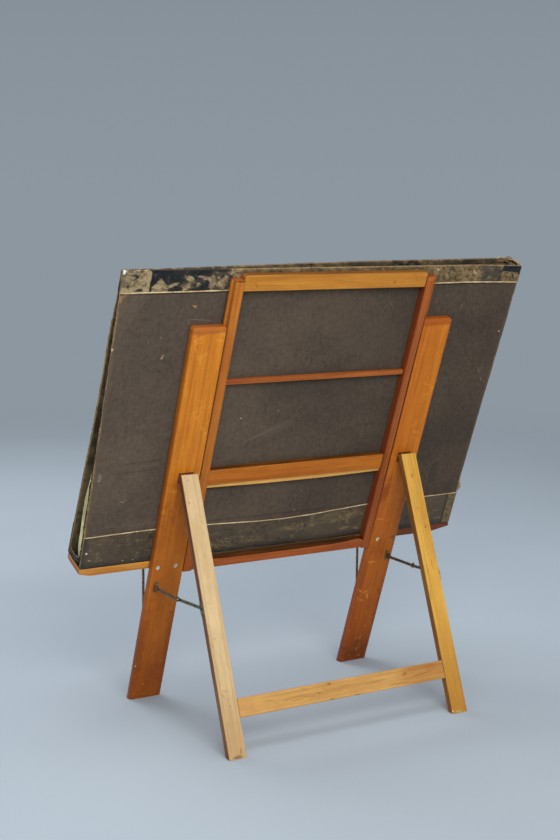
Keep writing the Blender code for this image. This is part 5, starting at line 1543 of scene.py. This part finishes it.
def floor_paint():
    """Matt grey floor that the camera sees fading into the horizon."""
    mat = new_material("studio_floor_paint")
    place = Value(mat, mat.coords["Object"])
    broad = mat.noise(place, 0.9, detail=3)
    fine = mat.noise(place, 60, detail=3)
    colour = mat.mix(broad.smooth(0.3, 0.7), (166, 176, 185), (160, 170, 180))
    paint = mat.value("BsdfDiffuse", {"Color": colour.scaled(0.985 + fine * 0.03),
                                      "Normal": mat.bump(fine, distance=0.0003, strength=0.3)})
    far = mat.value("Emission", {"Color": HORIZON})
    seen = mat.value("LightPath", out="Is Camera Ray")
    fade = mat.vec("LENGTH", place).smooth(1.3, 5.2) * seen
    mat.finish(mat.value("MixShader", {0: fade, 1: paint, 2: far}))
    return mat.owner


def make_floor(radius=16.0, segments=96, z=-0.0004):
    mesh = bpy.data.meshes.new("studio_floor")
    bm = bmesh.new()
    turns = [2 * math.pi * k / segments for k in range(segments)]
    bm.faces.new([bm.verts.new((radius * math.cos(a), radius * math.sin(a), z)) for a in turns])
    bm.to_mesh(mesh)
    bm.free()
    floor = bpy.data.objects.new("studio_floor", mesh)
    bpy.context.scene.collection.objects.link(floor)
    mesh.materials.append(floor_paint())


def make_world():
    """A sky gradient for the camera, plain fill for light and a dimmer one for reflections."""
    world = bpy.data.worlds.new("studio")
    bpy.context.scene.world = world
    sky = Shader(world, "OutputWorld")
    height = sky.split(Value(sky, sky.coords["Generated"]))[2].smooth(0.0, 0.55)
    ramp = sky.node("ValToRGB", {0: height})
    low, high = ramp.color_ramp.elements
    low.position, low.color = 0.0, HORIZON
    high.position, high.color = 1.0, linear((98, 106, 112))
    seen = sky.value("Background", {"Color": Value(sky, ramp.outputs[0]), "Strength": 1.0})
    fill = sky.value("Background", {"Color": (0.90, 0.95, 1.0, 1), "Strength": 0.50})
    gloss = sky.value("Background", {"Color": (0.80, 0.90, 1.0, 1), "Strength": 0.16})
    rays = sky.node("LightPath").outputs
    light = sky.value("MixShader", {0: Value(sky, rays["Is Glossy Ray"]), 1: fill, 2: gloss})
    sky.finish(sky.value("MixShader", {0: Value(sky, rays["Is Camera Ray"]), 1: light, 2: seen}))


def softbox(name, at, target, size, watts, colour):
    light = bpy.data.lights.new(name, "AREA")
    light.shape = "RECTANGLE"
    light.size, light.size_y = size
    light.energy = watts
    light.color = colour
    lamp = bpy.data.objects.new(name, light)
    bpy.context.scene.collection.objects.link(lamp)
    lamp.location = at
    lamp.rotation_mode = "QUATERNION"
    lamp.rotation_quaternion = (Vector(target) - Vector(at)).to_track_quat("-Z", "Y")


def make_camera(place, azimuth, elevation, roll, lens):
    """Camera behind the stand; angles in degrees, azimuth from +y towards +x, lens in mm."""
    data = bpy.data.cameras.new("camera")
    camera = bpy.data.objects.new("camera", data)
    bpy.context.scene.collection.objects.link(camera)
    azimuth, elevation, roll = map(math.radians, (azimuth, elevation, roll))
    forward = Vector((-math.sin(azimuth) * math.cos(elevation),
                      -math.cos(azimuth) * math.cos(elevation), -math.sin(elevation)))
    level = forward.cross(Vector((0, 0, 1))).normalized()
    upward = level.cross(forward).normalized()
    right = level * math.cos(roll) + upward * math.sin(roll)
    up = upward * math.cos(roll) - level * math.sin(roll)
    rows = [(right[k], up[k], -forward[k], place[k]) for k in range(3)]
    camera.matrix_world = Matrix((*rows, (0, 0, 0, 1)))
    data.sensor_fit = "AUTO"
    data.sensor_width = 36.0
    data.lens = lens
    data.clip_start, data.clip_end = 0.05, 60.0
    bpy.context.scene.camera = camera


make_floor()
make_world()
softbox("key_softbox", at=(1.0, 3.1, 2.2), target=(0.05, 0, 0.45), size=(2.0, 1.8), watts=96,
        colour=(1.0, 0.985, 0.96))
softbox("overhead_softbox", at=(0.3, 0.5, 3.4), target=(0, 0.0, 0.3), size=(3.0, 2.4), watts=42,
        colour=(1.0, 0.99, 0.97))
softbox("front_softbox", at=(0.9, -3.2, 2.4), target=(0, 0, 0.5), size=(2.6, 2.0), watts=70,
        colour=(0.97, 0.98, 1.0))
make_camera(place=(1.46321, 2.42648, 0.98382), azimuth=30.28, elevation=7.96, roll=0.18,
            lens=61.368)
bpy.context.scene.view_settings.view_transform = "Standard"
bpy.context.scene.view_settings.look = "None"
bpy.context.scene.render.film_transparent = False
